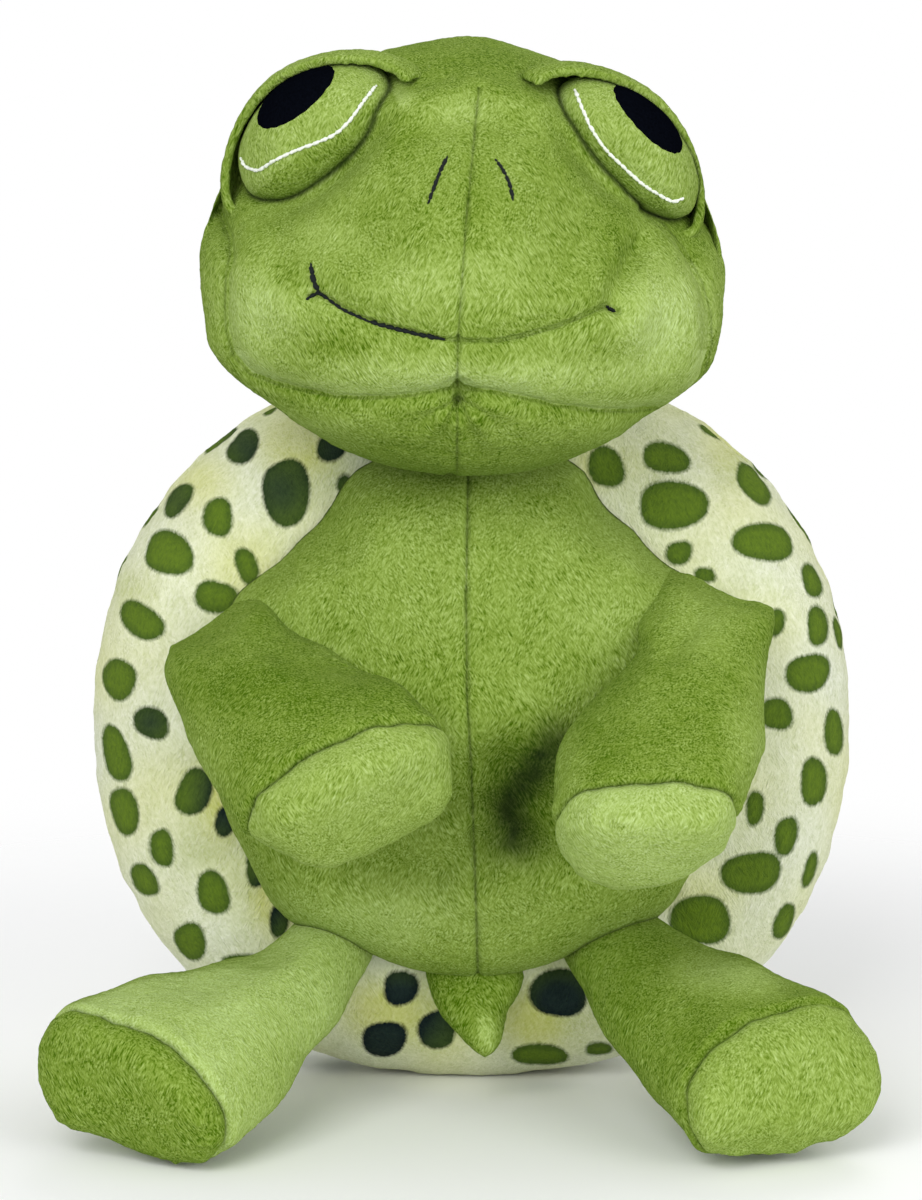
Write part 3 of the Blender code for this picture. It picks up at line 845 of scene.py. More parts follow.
def belly_outline(angle):
    return rounded(belly_half_width, belly_rise, belly_drop, (1.65, 2.35), angle) + Vector((0, belly_centre_z))


def leaned(x, y, z):
    return Vector((x, y + z * math.tan(shell_lean) - seam_before_seat, z))


def unleaned_y(points):
    """How far behind the rim each point lies."""
    return points[:, 1] - points[:, 2] * math.tan(shell_lean) + seam_before_seat


shell_back_rows = [(1, 0, 1), (1, 0.49, 0.97), (1, 0.78, 0.76), (1, 0.965, 0.40), (1, 1.030, 0.0)]
shell_ring_rows = [(0.93, 0.985, 0.56), (0.50, 0.975, 0.98), (0, 0.955, 0.94), (0, 0.78, 0.62), (0, 0, 0.50)]
shell_rows = (
    [(mix, share, depth * shell_back_depth) for mix, share, depth in shell_back_rows]
    + [(mix, share, -depth * shell_ring_depth) for mix, share, depth in shell_ring_rows]
)
shell_segments = 24


def shell_place(row, angle):
    mix, share, y = shell_rows[row]
    centre = Vector((0, belly_centre_z)).lerp(Vector((0, shell_centre_z)), mix)
    outline = belly_outline(angle).lerp(shell_outline(angle), mix)
    x, z = centre.lerp(outline, share * ring_growth(shell_segments))
    return leaned(x, y, z)


shell = round_form("shell", shell_segments, len(shell_rows), shell_place)
finer(shell, 1)
remesh(shell, 0.004)
swell(shell, pressure=3.0, cap=0.004, held=lambda points: near(unleaned_y(points), 0.004))
finer(shell, 2)
print("shell", len(shell.data.vertices), "points")

# %% [markdown]
# The two panels are two cuts of the same form. Each is closed by a flat face along the rim, and its
# edge is drawn in a little, as the stitches draw the cloth in.

# %% Shell panels
rim_groove = 0.0016
rim_width = 0.0019

shell_points = points_of(shell)
depth_points = unleaned_y(shell_points)
round_angle = np.arctan2(shell_points[:, 2] - belly_centre_z, shell_points[:, 0])
round_places = np.stack([np.cos(round_angle), np.sin(round_angle), 0 * round_angle], axis=1) * belly_half_width
outside_belly = np.hypot(shell_points[:, 0], shell_points[:, 2] - belly_centre_z) - belly_half_width
gathers = lumps(round_places, 0.0085, 9) * near(outside_belly, 0.0130) * (depth_points < 0)
puckers = lumps(round_places, 0.0050, 8) * near(depth_points, 0.0075)
push(shell, 0.0016 * gathers + 0.0008 * puckers - rim_groove * near(depth_points, rim_width))
lay_pile(shell)
settle(shell)
rim_place = (0, -seam_before_seat, 0)
rim_normal = Vector((0, math.cos(shell_lean), -math.sin(shell_lean)))
shell_ring = cut_copy(shell, "shell_ring", rim_place, rim_normal)
shell_dome = cut_copy(shell, "shell_dome", rim_place, -rim_normal)
bpy.data.objects.remove(shell)

# %% [markdown]
# ## Shell print
#
# Where a spot shows in the photo, it is put there: its middle is found on the ring along the line of
# sight, and its length and width are measured on the cloth. The rest of the shell, which the photo
# doesn't show, gets spots of the same kind, scattered so that none touch.

# %% Spots
# each spot on the photo: across, down, width, height, tilt in degrees, in the photo's pixels
photo_spots = [
    (270, 411, 24, 16, 0), (243, 446, 36, 38, 30), (331, 448, 32, 26, 0), (286, 492, 50, 66, -15),
    (178, 500, 24, 42, 30), (218, 517, 29, 43, 0), (344, 484, 15, 20, 20), (168, 553, 60, 42, 12),
    (247, 566, 24, 36, -20), (216, 597, 46, 32, 20), (140, 620, 54, 34, 38), (118, 679, 40, 44, 30),
    (151, 723, 37, 33, 10), (116, 754, 32, 56, -10), (194, 792, 38, 46, 25), (124, 811, 36, 46, -20),
    (226, 821, 22, 34, 10), (162, 848, 24, 42, -8), (144, 880, 28, 38, -25), (213, 893, 34, 44, 0),
    (256, 868, 22, 38, 0), (279, 921, 21, 32, 0), (190, 942, 36, 40, -25), (242, 963, 40, 20, 0),
    (710, 431, 42, 24, 30), (606, 467, 37, 42, 0), (666, 458, 52, 30, 5), (674, 505, 76, 46, 0),
    (754, 483, 28, 46, -25), (679, 553, 26, 26, 0), (765, 542, 64, 42, 0), (705, 575, 22, 16, 0),
    (812, 581, 24, 34, -10), (818, 626, 27, 38, 0), (776, 622, 20, 27, 0), (809, 673, 49, 40, 0),
    (839, 633, 10, 36, 0), (776, 714, 34, 34, 0), (834, 733, 24, 46, 0), (814, 782, 32, 46, 0),
    (755, 808, 20, 34, 0), (786, 836, 25, 40, 0), (752, 873, 58, 46, 0), (701, 920, 58, 54, 0),
    (784, 922, 24, 40, 20), (810, 870, 16, 36, 15), (401, 988, 38, 34, 0), (384, 1040, 45, 42, 0),
    (437, 1030, 36, 44, -10), (559, 993, 54, 54, 0), (540, 1055, 56, 26, 0), (599, 1049, 30, 16, 0),
]
spot_power = 2.3
spot_wobble = 0.08
spot_depth_reach = 0.0100
spot_roundness = 1.6
grazing = 0.55
spare_spot_gap = 0.0022
spare_tries = 9000
shell_tree = surface_tree(shell_ring, shell_dome)


def spare_spot(place, normal, half_width, half_height, tilt):
    """A spot's middle, its two directions on the cloth and the third across it, and its half-sizes."""
    up = Vector((0, 0, 1)) - normal * normal.z
    if up.length < 0.2:
        up = Vector((0, 1, 0)) - normal * normal.y
    up.normalize()
    side = up.cross(normal)
    along = side * math.cos(tilt) - up * math.sin(tilt)
    other = up * math.cos(tilt) + side * math.sin(tilt)
    return place, along, other, normal, half_width, half_height


spots = []
for across, down, wide, tall, tilt in photo_spots:
    hit, normal, _, _ = shell_tree.ray_cast(camera_place, line_of_sight(across, down))
    if hit is None:
        continue
    size = (hit - camera_place).length / focal_pixels / 2
    turn = math.radians(tilt)
    openness = abs(normal.dot(sight))
    if openness < grazing:
        outward = normal if normal.dot(sight) < 0 else -normal
        half_width = min(wide * size / openness, tall * size * 1.1)
        spots.append(spare_spot(hit, outward, half_width, tall * size, turn))
        continue
    along = Vector(sight_right * math.cos(turn) - sight_up * math.sin(turn))
    other = Vector(sight_up * math.cos(turn) + sight_right * math.sin(turn))
    spots.append((hit, along, other, sight, wide * size, tall * size))
print("spots on the photo", len(spots))

spare_random = np.random.default_rng(5)
for _ in range(spare_tries):
    way = Vector(spare_random.normal(size=3)).normalized()
    half_width = spare_random.uniform(0.0030, 0.0074)
    half_height = half_width * spare_random.uniform(0.75, 1.35)
    tilt = spare_random.uniform(-0.8, 0.8)
    start = Vector((0, 0.0050, shell_centre_z))
    hit, normal, _, _ = shell_tree.ray_cast(start, way)
    if hit is None:
        continue
    normal = normal if normal.dot(way) > 0 else -normal
    if normal.dot(sight) < 0.10 and unleaned_y(np.array([hit]))[0] < 0:
        continue
    size = max(half_width, half_height) + spare_spot_gap
    if all((hit - other[0]).length > size + max(other[4:]) for other in spots):
        spots.append(spare_spot(hit, normal, half_width, half_height, tilt))
print("spots in all", len(spots))


def spot_distance(points):
    """About how far each point lies outside the nearest spot's edge, negative inside."""
    best = np.full(len(points), 0.02)
    for number, (place, along, other, across, half_width, half_height) in enumerate(spots):
        away = points - np.array(place)
        close = np.einsum("ij,ij->i", away, away) < (max(half_width, half_height) + spot_depth_reach * 1.5) ** 2
        deep = min(spot_depth_reach, spot_roundness * max(half_width, half_height))
        halves = np.array((half_width, half_height, deep))
        shares = away[close] @ np.array((along, other, across)).T / halves
        turn = np.arctan2(shares[:, 1], shares[:, 0])
        reach = (np.abs(shares) ** spot_power).sum(axis=1) ** (1 / spot_power)
        slope = (np.abs(shares) / np.maximum(reach, 0.1)[:, None]) ** (spot_power - 1) / halves
        slope = np.maximum(np.linalg.norm(slope, axis=1), 0.5 / halves.max())
        wobble = np.sin(2 * turn + number) + 0.5 * np.sin(3 * turn - number)
        reach = reach * (1 + spot_wobble * wobble)
        best[close] = np.minimum(best[close], (reach - 1) / slope)
    return best


# Painted shade on the cream, in its folds near the belly's edge and at the bottom.
shell_shade_patches = [
    (330, 470, 90, 60, -0.30), (230, 790, 70, 110, -0.32), (430, 1010, 120, 60, -0.35),
    (560, 1010, 90, 60, -0.35), (640, 470, 70, 60, -0.20), (760, 600, 60, 60, -0.10),
    (130, 590, 40, 30, -0.30), (190, 850, 40, 40, -0.25), (735, 470, 40, 30, -0.35), (250, 880, 50, 60, -0.25),
]
shell_tint_patches = [
    (300, 440, 70, 50, 1.0), (240, 560, 60, 60, 0.5), (200, 480, 50, 40, 0.4), (380, 1010, 60, 50, 0.7),
    (530, 1020, 50, 50, 0.8), (160, 800, 60, 60, 0.3), (590, 470, 30, 40, 0.5), (700, 900, 60, 60, 0.4),
    (225, 800, 40, 60, 0.8), (280, 905, 40, 50, 0.8), (730, 440, 50, 40, 0.8),
]
# Painted shade on the spots, most of it near the belly and at the bottom.
spot_shade_patches = [
    (400, 1010, 120, 90, 1.0), (560, 1000, 70, 60, 1.0), (230, 800, 60, 90, 0.9), (270, 900, 40, 70, 0.9),
    (335, 450, 50, 60, 0.8), (150, 722, 34, 34, 0.7), (280, 490, 60, 60, 0.70), (245, 445, 40, 40, 0.7),
    (178, 500, 30, 40, 0.5), (701, 920, 60, 60, -0.12), (380, 1040, 50, 50, 0.6),
]
for piece, body_nodes in ((shell_ring, ("shell_front",)), (shell_dome, ("shell_back",))):
    paint(piece, "spot", spot_distance(points_of(piece)))
    # Painted shade along the rim's seam and in patches on the cream.
    rim_shade = 0.45 * near(unleaned_y(points_of(piece)), 0.0012)
    paint(piece, "nap_light_and_shade", patched_value(piece, 0.62, shell_shade_patches) - rim_shade)
    # The depth value is painted shade on the spots.
    paint(piece, "depth", patched_value(piece, 0.12, spot_shade_patches))
    paint(piece, "tint", patched_value(piece, 0.30, shell_tint_patches) + 0.5 * lumps(points_of(piece), 0.020, 7))
    dress(piece, shell_pile, "shell_print", "body", *body_nodes)

# %% [markdown]
# ## Belly
#
# The belly is a full pillow set into the ring, with a seam down its middle and a deep crease where it
# meets the shell. It is one closed form, wider behind the crease so that no gap can show.

# %% Belly
belly_rows = [
    (0.00, -0.30), (0.70, -0.30), (0.93, -0.10), (0.99, 0.30), (0.995, 0.50), (0.93, 0.69), (0.78, 0.84),
    (0.46, 0.965), (0, 1.0),
]
belly_segments = 28


def belly_place(row, angle):
    share, depth = belly_rows[row]
    x, z = Vector((0, belly_centre_z)).lerp(belly_outline(angle), share * ring_growth(belly_segments))
    return leaned(x, -depth * belly_depth, z)


belly_seam = [(468, 470), (466, 600), (467, 700), (471, 760), (475, 870), (478, 980)]
belly = round_form("belly", belly_segments, len(belly_rows), belly_place)
finer(belly, 1)
remesh(belly, 0.0033)
grab(
    belly, (375, 465, 2, -2, 60), (255, 585, -4, 0, 80), (572, 470, -5, -2, 60), (668, 565, 2, 2, 60),
    (305, 522, 14, 13, 74), (628, 508, -19, 13, 66), (262, 558, 10, 8, 50), (672, 548, -18, 10, 50),
    (470, 960, 0, 16, 170), (300, 905, -8, 10, 80), (650, 905, 6, 10, 80),
)
swell(belly, pressure=4.0, cap=0.004, held=lambda points: near(points[:, 0], 0.003))
finer(belly, 2)
for line, depth, width in (
    ([(505, 770), (530, 795), (560, 825)], 0.0052, 0.0085),
    ([(440, 770), (520, 805), (600, 850)], 0.0016, 0.0060),
    ([(340, 862), (430, 876), (480, 846)], 0.0020, 0.0050),
    ([(478, 838), (486, 880)], 0.0018, 0.0040),
):
    draw_in(belly, line, depth, width, depth * 0.4, width * 1.5)
finer_along(belly, belly_seam)
draw_in(belly, belly_seam, 0.0007, 0.0007, 0.0003, 0.0030, pucker=1.0)
lay_pile(belly)
settle(belly)
# belly_shade is a painted shadow in the crease beside the left paw; the belly also gets painted shade where it
# touches the ring.
belly_shade = [(556, 744), (528, 776), (508, 806), (514, 838)]
belly_seams_and_shade = np.maximum.reduce([
    0.85 * seam_mask(belly, belly_seam, width=0.00030, uneven=0.6),
    0.95 * contact_shade(belly, surface_tree(shell_ring), 0.0014),
    0.85 * seam_mask(belly, belly_shade, width=0.0055) * (1 + 0.25 * lumps(points_of(belly), 0.0030, 6)),
])
# The patch beside the left paw is painted shadow.
paint(belly, "nap_light_and_shade", patched_value(belly, 0.37, [
    (420, 560, 90, 120, 0.05), (600, 560, 80, 130, 0.05), (522, 785, 90, 90, -0.20), (440, 690, 60, 60, -0.10),
    (380, 920, 140, 60, 0.23), (590, 920, 100, 60, 0.00), (330, 520, 60, 60, -0.05), (470, 500, 200, 30, -0.04),
    (600, 620, 60, 60, 0.06),
]))
dress(belly, green_pile, "green_pile", "body", "belly_left", "belly_right", "body_stuffing")

# %% [markdown]
# ## Head
#
# The head is a wide soft form that leans a little to one side, so it is shaped in a frame of its own.
# Its cheeks and lower lip bulge between the drawn-in mouth and the chin seam.

# %% Head form
neck_place = leaned(0, -shell_ring_depth, belly_centre_z + belly_rise) + Vector((0, 0.0060, 0.0010))
head_centre = neck_place + Vector((-0.0020, -0.0200, 0.0408))
head_frame = Matrix.Translation(head_centre) @ Matrix.Rotation(math.radians(3.5), 4, "Y")
head_back = head_frame.inverted()
head_half_width, head_front_depth, head_back_depth = 0.0595, 0.0488, 0.0468
head_rise, head_drop = 0.0490, 0.0515
lower_head_rows = [
    (-1, 0, 0.36, 0.0), (-0.90, 0.44, 0.70, 0.10), (-0.62, 0.82, 0.92, 0.52), (-0.22, 1.04, 1.06, 0.92),
]
upper_head_rows = [
    (0.14, 1.0, 1.04, 1.04), (0.50, 0.86, 0.78, 1.0), (0.84, 0.58, 0.36, 0.78), (1, 0, -0.20, 0.20),
]
head_rows = (
    [(row[0] * head_drop, *row[1:]) for row in lower_head_rows]
    + [(row[0] * head_rise, *row[1:]) for row in upper_head_rows]
)
head_segments = 24


def head_place(row, angle):
    z, width, front, back = head_rows[row]
    growth = ring_growth(head_segments)
    front_y, back_y = -front * head_front_depth, back * head_back_depth
    half_depth = (back_y - front_y) / 2 * growth if width else 0
    half_width = width * head_half_width * growth
    local = Vector((half_width * math.cos(angle), (front_y + back_y) / 2 + half_depth * math.sin(angle), z))
    return head_frame @ local


def in_head(points):
    """Points in the head's own frame."""
    turned = np.array(head_back.to_3x3())
    return (points - np.array(head_centre)) @ turned.T


head = round_form("head", head_segments, len(head_rows), head_place)
finer(head, 1)
remesh(head, 0.0027)

snout_half_width, snout_fall = 0.0060, 0.0190
head_local = in_head(points_of(head))
fall = np.clip((np.abs(head_local[:, 0]) - snout_half_width) / 0.0285, 0, 1.15) ** 2
fall = fall * smooth_share(head_local[:, 2], -0.0090, 0.0180) * smooth_share(-head_local[:, 1], 0, 0.0140)
head_local[:, 1] += snout_fall * fall
move_points(head, moved_by(head_frame, head_local))

# %% [markdown]
# The eyes sit in hollows. On the real toy the stitches that hold an eye pull the head in behind it, so
# each hollow is pressed into the head with a soft edge, in a frame that is turned as the eye is.

# %% Eye sockets
eye_out, eye_up, eye_forward = 0.0345, 0.0262, 0.0060
eye_tilt, eye_turn = math.radians(40), math.radians(14)
socket_half_length, socket_half_height = 0.0225, {"left": 0.0128, "right": 0.0148}
socket_floor = -0.0110
both_sides = (("left", 1), ("right", -1))


def eye_frame(sign):
    place = Matrix.Translation((sign * eye_out, -eye_forward, eye_up))
    turn = Matrix.Rotation(sign * eye_turn, 4, "Z") @ Matrix.Rotation(sign * eye_tilt, 4, "Y")
    return head_frame @ place @ turn


for side, sign in both_sides:
    local = moved_by(eye_frame(sign).inverted(), points_of(head))
    reach = np.hypot(local[:, 0] / socket_half_length, local[:, 2] / socket_half_height[side])
    hold = smooth_share(reach, 1.24, 0.96)
    sunk = local[:, 1] + (socket_floor - local[:, 1]) * hold
    local[:, 1] = np.where(local[:, 1] < socket_floor, sunk, local[:, 1])
    move_points(head, moved_by(eye_frame(sign), local))
    print("socket", side, "moved", int((hold > 0).sum()), "points")

# %% [markdown]
# The face is drawn in along the mouth, the chin seam and the cheek's fold, and the cloth bulges on both
# sides of each. The lines are places on the photo, as one would draw them on the head with chalk.

# %% Mouth, chin and cheeks
mouth_line = [
    (308, 296), (319, 293), (345, 310), (366, 320), (391, 328), (416, 334), (445, 340), (460, 341), (497, 342),
    (526, 336), (555, 328), (583, 317), (606, 306), (618, 311),
]
chin_line = [
    (219, 211), (229, 238), (230, 255), (226, 273), (225, 305), (226, 330), (234, 357), (250, 374), (276, 384),
    (303, 391), (334, 397), (372, 399), (410, 396), (449, 389), (458, 385), (465, 389), (497, 393), (526, 399),
    (555, 406), (593, 411), (631, 412), (670, 407), (689, 399), (704, 375), (712, 345), (711, 315), (702, 282),
    (685, 250), (664, 225), (642, 208),
]
face_panel = chin_line[:-7] + [
    (722, 375), (730, 345), (730, 300), (720, 250), (690, 205), (640, 120), (560, 80), (540, 106), (505, 96),
    (473, 90), (440, 96), (400, 110), (385, 70), (250, 90),
]
face_seam = [(479, 88), (473, 150), (466, 224), (462, 280), (458, 340), (457, 385)]
neck_seam = [(457, 400), (457, 480)]
cheek_fold = [(614, 303), (621, 282), (633, 250)]
top_line = [(400, 112), (425, 102), (450, 94), (475, 90), (505, 96), (540, 108)]
chin_dimple = (458, 400)
dimple_size, dimple_depth, dimple_shade_size = 27, 0.0038, 13
panel_end = -0.0150

grab(
    head, (465, 60, 0, -8, 130), (225, 375, -12, 4, 70), (703, 388, 12, 4, 70), (716, 345, 7, 2, 60),
    (210, 335, -6, 2, 60)
)
draw_in(head, mouth_line, 0.0010, 0.0028, 0.0006, 0.0062)
draw_in(head, chin_line, 0.0014, 0.0022, 0.0010, 0.0052)
draw_in(head, cheek_fold, 0.0024, 0.0026, 0.0010, 0.0050)
draw_in(head, top_line, -0.0016, 0.0034)
swell(head, pressure=3.0, cap=0.0020)
finer(head, 2)
finer_along(head, mouth_line, chin_line, face_seam, neck_seam)
head_seen = on_photo(points_of(head))
head_front = facing(head)
from_dimple = (head_seen - np.array(chin_dimple)).T
push(head, -dimple_depth * head_front * brush(*from_dimple, dimple_size))
gather = np.arctan2(*from_dimple)
gather_reach = np.hypot(*from_dimple)
push(head, 0.0006 * head_front * np.cos(gather * 9) * (
    np.clip(gather_reach / 14, 0, 1) * (1 - smooth_share(gather_reach, 30, 78)) * (np.abs(gather) < 1.5)
))
draw_in(head, mouth_line, 0.0010, 0.0007, pucker=0.4)
draw_in(head, chin_line, 0.0009, 0.0008, pucker=0.5)
draw_in(head, face_seam, 0.0006, 0.0007, 0.0002, 0.0028, pucker=0.8)
draw_in(head, neck_seam, 0.0006, 0.0007, 0.0002, 0.0028, pucker=0.8)
head_local = in_head(points_of(head))
push(head, -0.0008 * near(head_local[:, 0], 0.0011) * (1 - head_front))
lay_pile(head)
head_seams_and_shade = np.maximum.reduce([
    0.70 * seam_mask(head, face_seam, width=0.00030, uneven=0.7),
    0.50 * seam_mask(head, neck_seam, width=0.00030, uneven=0.7),
    0.60 * seam_mask(head, mouth_line, width=0.00028, uneven=0.7),
    0.45 * seam_mask(head, chin_line, width=0.00030, uneven=0.7),
    # Painted shade in the chin's dimple.
    0.70 * head_front * brush(*from_dimple, dimple_shade_size),
])
panel = within(head_seen, face_panel) & (head_local[:, 1] < panel_end)
open_patches = [
    (255, 320, 70, 80, 0.26), (665, 320, 74, 90, 0.42), (455, 285, 130, 50, 0.16), (400, 150, 50, 50, -0.10),
    (480, 200, 44, 70, -0.10), (560, 160, 50, 50, -0.06), (400, 372, 150, 26, 0.22), (560, 376, 140, 30, 0.26),
    (250, 300, 50, 60, 0.08), (618, 250, 30, 56, -0.12), (340, 345, 50, 16, -0.14), (285, 275, 34, 26, -0.12),
    (380, 215, 70, 44, -0.08), (600, 215, 40, 40, -0.08), (465, 110, 60, 24, 0.14), (330, 235, 60, 26, 0.12),
    (520, 240, 50, 30, 0.05),
]
under_patches = [
    (330, 425, 90, 30, 0.16), (600, 435, 110, 30, 0.12), (457, 420, 50, 30, -0.08), (220, 300, 30, 90, 0.16),
    (715, 300, 26, 80, 0.10), (470, 60, 90, 26, -0.08), (400, 100, 26, 24, 0.30)
]
# Painted light on the lower lip above the chin seam, where the lip turns down into shade.
lip_painted_light = 0.24 * near(line_distance(head_seen, chin_line) * pixel_size - 0.0012, 0.0022)
head_nap_light_and_shade = np.where(
    panel, patched_value(head, 0.37, open_patches) + lip_painted_light * (head_seen[:, 1] > 350),
    patched_value(head, 0.30, under_patches)
)
paint(head, "nap_light_and_shade", head_nap_light_and_shade)
dress(
    head, green_pile, "green_pile", "head",
    "face_left", "face_right", "head_back_left", "head_back_right", "head_stuffing"
)

# %% [markdown]
# ## Neck
#
# The head is sewn to the body round a short neck, which is gathered into folds. It hardly shows under
# the chin, but it does from the side and from behind. Its folds are waves round a plain oval ball.

# %% Neck
neck_halves = Vector((0.0270, 0.0215, 0.0190))
neck_folds, neck_fold_depth = 15, 0.0009
bpy.ops.mesh.primitive_uv_sphere_add(segments=32, ring_count=20, radius=1)
neck = named("neck")
for vertex in neck.data.vertices:
    vertex.co = Vector(value * half for value, half in zip(vertex.co, neck_halves)) + neck_place
remesh(neck, 0.0026)
swell(neck, pressure=3.0, cap=0.0010)
finer(neck, 2)
neck_local = points_of(neck) - np.array(neck_place)
push(neck, neck_fold_depth * np.cos(np.arctan2(neck_local[:, 1], neck_local[:, 0]) * neck_folds))
lay_pile(neck)
neck_nap = 0.36
paint(neck, "nap_light_and_shade", np.full(len(neck.data.vertices), neck_nap))
dress(neck, green_pile, "green_pile", "neck", "neck_stuffing")

# %% [markdown]
# ## Eyes
#
# Each eye is a small stuffed bun sewn to the head. It is a ball with fuller sides, remeshed like the
# other stuffed parts but from smaller faces, since it is small itself. Pressure hardly moves so small
# and tight a form, so its shape is the modelled one.

# %% Eye buns
# the turtle's right eye is the rounder one, and its left one sits a little higher
eye_halves = {"left": Vector((0.0207, 0.0155, 0.0106)), "right": Vector((0.0207, 0.0155, 0.0130))}
eye_place = {
    "left": Matrix.Translation((0, -0.0022, 0.0014)), "right": Matrix.Translation((0, -0.0022, 0.0002))
}
eye_fullness, eye_upper_fullness = 2.5, 1.9


def full_ball(name, halves, power, upper_power=None, segments=32, rows=20):
    """A ball whose outline is fuller than an oval, with its poles at the ends of its long axis."""
    bpy.ops.mesh.primitive_uv_sphere_add(segments=segments, ring_count=rows, radius=1, rotation=(0, math.pi / 2, 0))
    piece = named(name)
    bpy.ops.object.transform_apply(location=False, rotation=True, scale=False)
    for vertex in piece.data.vertices:
        full = power if vertex.co.z < 0 or not upper_power else upper_power
        reach = sum(abs(value) ** full for value in vertex.co) ** (-1 / full)
        vertex.co = Vector(value * reach * half for value, half in zip(vertex.co, halves))
    faces_out(piece)
    return piece


buns = {}
for side, sign in both_sides:
    bun = full_ball(f"eye_bun_{side}", eye_halves[side], eye_fullness, eye_upper_fullness)
    bun.data.transform(eye_frame(sign) @ eye_place[side])
    remesh(bun, 0.0016)
    swell(bun, pressure=3.0, cap=0.0010)
    finer(bun, 1)
    buns[side] = bun
# Painted shade on the head where the eye buns touch it.
paint(head, "seam", np.maximum(head_seams_and_shade, 0.85 * contact_shade(head, surface_tree(*buns.values()), 0.0009)))

# %% [markdown]
# The hood is a strip of folded cloth that arches over the bun, open to the front. It is a ball round
# the bun, cut open in front and below, given the cloth's thickness and rounded at its rim.

# %% Eye hoods
hood_halves = {"left": Vector((0.0280, 0.0200, 0.0142)), "right": Vector((0.0282, 0.0200, 0.0162))}
hood_inward = {"left": 0.0016, "right": -0.0004}
hood_fullness = 1.75
hood_thickness = 0.0023
hood_opening = -0.0066
hood_low_edge = -0.0030
hood_low_slant = -0.05
hood_droop = 0.0036

for side, sign in both_sides:
    hood = full_ball(f"eye_hood_{side}", hood_halves[side], hood_fullness)
    cut(hood, (0, hood_opening, 0), (0, -1, 0), closed=False)
    cut(hood, (0, 0, hood_low_edge), (sign * hood_low_slant, 0, -1), closed=False)
    apply_step(hood, "SOLIDIFY", thickness=hood_thickness, offset=-1)
    points = points_of(hood)
    points[:, 2] -= hood_droop * (points[:, 0] / hood_halves[side].x) ** 2
    points[:, 0] -= sign * hood_inward[side]
    move_points(hood, points)
    hood.data.transform(eye_frame(sign) @ Matrix.Translation((0, -0.0020, 0)))
    remesh(hood, 0.0007)
    apply_step(hood, "SMOOTH", factor=0.5, iterations=4)
    finer(hood, 1)
    lay_pile(hood)
    paint(hood, "nap_light_and_shade", patched_value(hood, 0.34, [(320, 62, 130, 40, 0.12), (640, 90, 130, 60, 0.05)]))
    # Painted shade on the hood where it touches the bun.
    paint(hood, "seam", 0.7 * contact_shade(hood, surface_tree(buns[side]), 0.0005))
    dress(hood, green_pile, "green_pile", "head", f"lid_{side}")

# %% [markdown]
# The pupil is a patch of dark pile, laid on the bun where the photo shows it. It starts as a disc, and
# each of its points is moved along the line of sight until it meets the bun.

# %% Pupils
patch_rings, patch_steps = 14, 128
patch_thickness = 0.0007
patch_proud = 0.0005
patch_root = 0.0100
pupil_fringe = 0.009
# each pupil: its middle on the photo, half length and half height on the cloth, tilt in degrees
pupils = {"right": (291, 90, 0.0138, 0.0098, 36), "left": (653, 114, 0.0132, 0.0086, -46)}


def surface_point(tree, across, down):
    """Where the line of sight through a pixel meets a surface, and the surface's normal there."""
    hit, normal, _, _ = tree.ray_cast(camera_place, line_of_sight(across, down))
    return hit, normal


for side, sign in both_sides:
    across, down, half_long, half_high, tilt = pupils[side]
    turn = math.radians(tilt)
    tree = surface_tree(buns[side])
    middle_hit, middle_normal = surface_point(tree, across, down)
    root = middle_hit - middle_normal * patch_root
    along = Vector(sight_right * math.cos(turn) + sight_up * math.sin(turn))
    along = (along - middle_normal * along.dot(middle_normal)).normalized()
    over = middle_normal.cross(along)
    bpy.ops.mesh.primitive_circle_add(vertices=patch_steps, radius=1, fill_type="NGON")
    pupil = named(f"pupil_patch_{side}")
    bpy.ops.object.mode_set(mode="EDIT")
    for ring in range(1, patch_rings):
        bpy.ops.mesh.inset(thickness=1 / patch_rings, use_even_offset=False)
    bpy.ops.object.mode_set(mode="OBJECT")
    for vertex in pupil.data.vertices:
        angle = math.atan2(vertex.co.y, vertex.co.x)
        ragged = 1 + vertex.co.length * pupil_fringe * (math.sin(angle * 15) + math.sin(angle * 23 + 1))
        reach = (along * (vertex.co.x * half_long) + over * (vertex.co.y * half_high)) * ragged
        way = (middle_hit + reach - root).normalized()
        hit, normal, _, _ = tree.ray_cast(root, way)
        normal = normal if normal.dot(way) > 0 else -normal
        vertex.co = hit + normal * patch_proud * (1 - vertex.co.length ** 8)
    faces_out(pupil)
    apply_step(pupil, "SOLIDIFY", thickness=patch_thickness, offset=-1)
    faces_out(pupil)
    finer(pupil, 1)
    lay_pile(pupil, 0.00010)
    dress(pupil, dark_pile, "dark_patch", "head", f"pupil_{side}")

# %% [markdown]
# ## Stitches
#
# A stitched line is a curve whose points are found on the photo and dropped on the cloth. It has the
# thickness of the thread, is sunk half-way into the pile, and becomes a mesh at the end.

# %% Stitched lines
def smooth_line(pixels, count):
    """Even points on a smooth curve through places on the photo."""
    places = [Vector(pixel) for pixel in pixels]
    places = [places[0] * 2 - places[1], *places, places[-1] * 2 - places[-2]]
    made = []
    for index in range(len(places) - 3):
        a, b, c, d = places[index:index + 4]
        for step in range(count):
            t = step / count
            made.append(0.5 * (
                b * 2 + (c - a) * t + (a * 2 - b * 5 + c * 4 - d) * t * t + (b * 3 - a - c * 3 + d) * t ** 3
            ))
    return made + [places[-2]]


stitch_length = 0.0019
stitch_pinch = 0.45


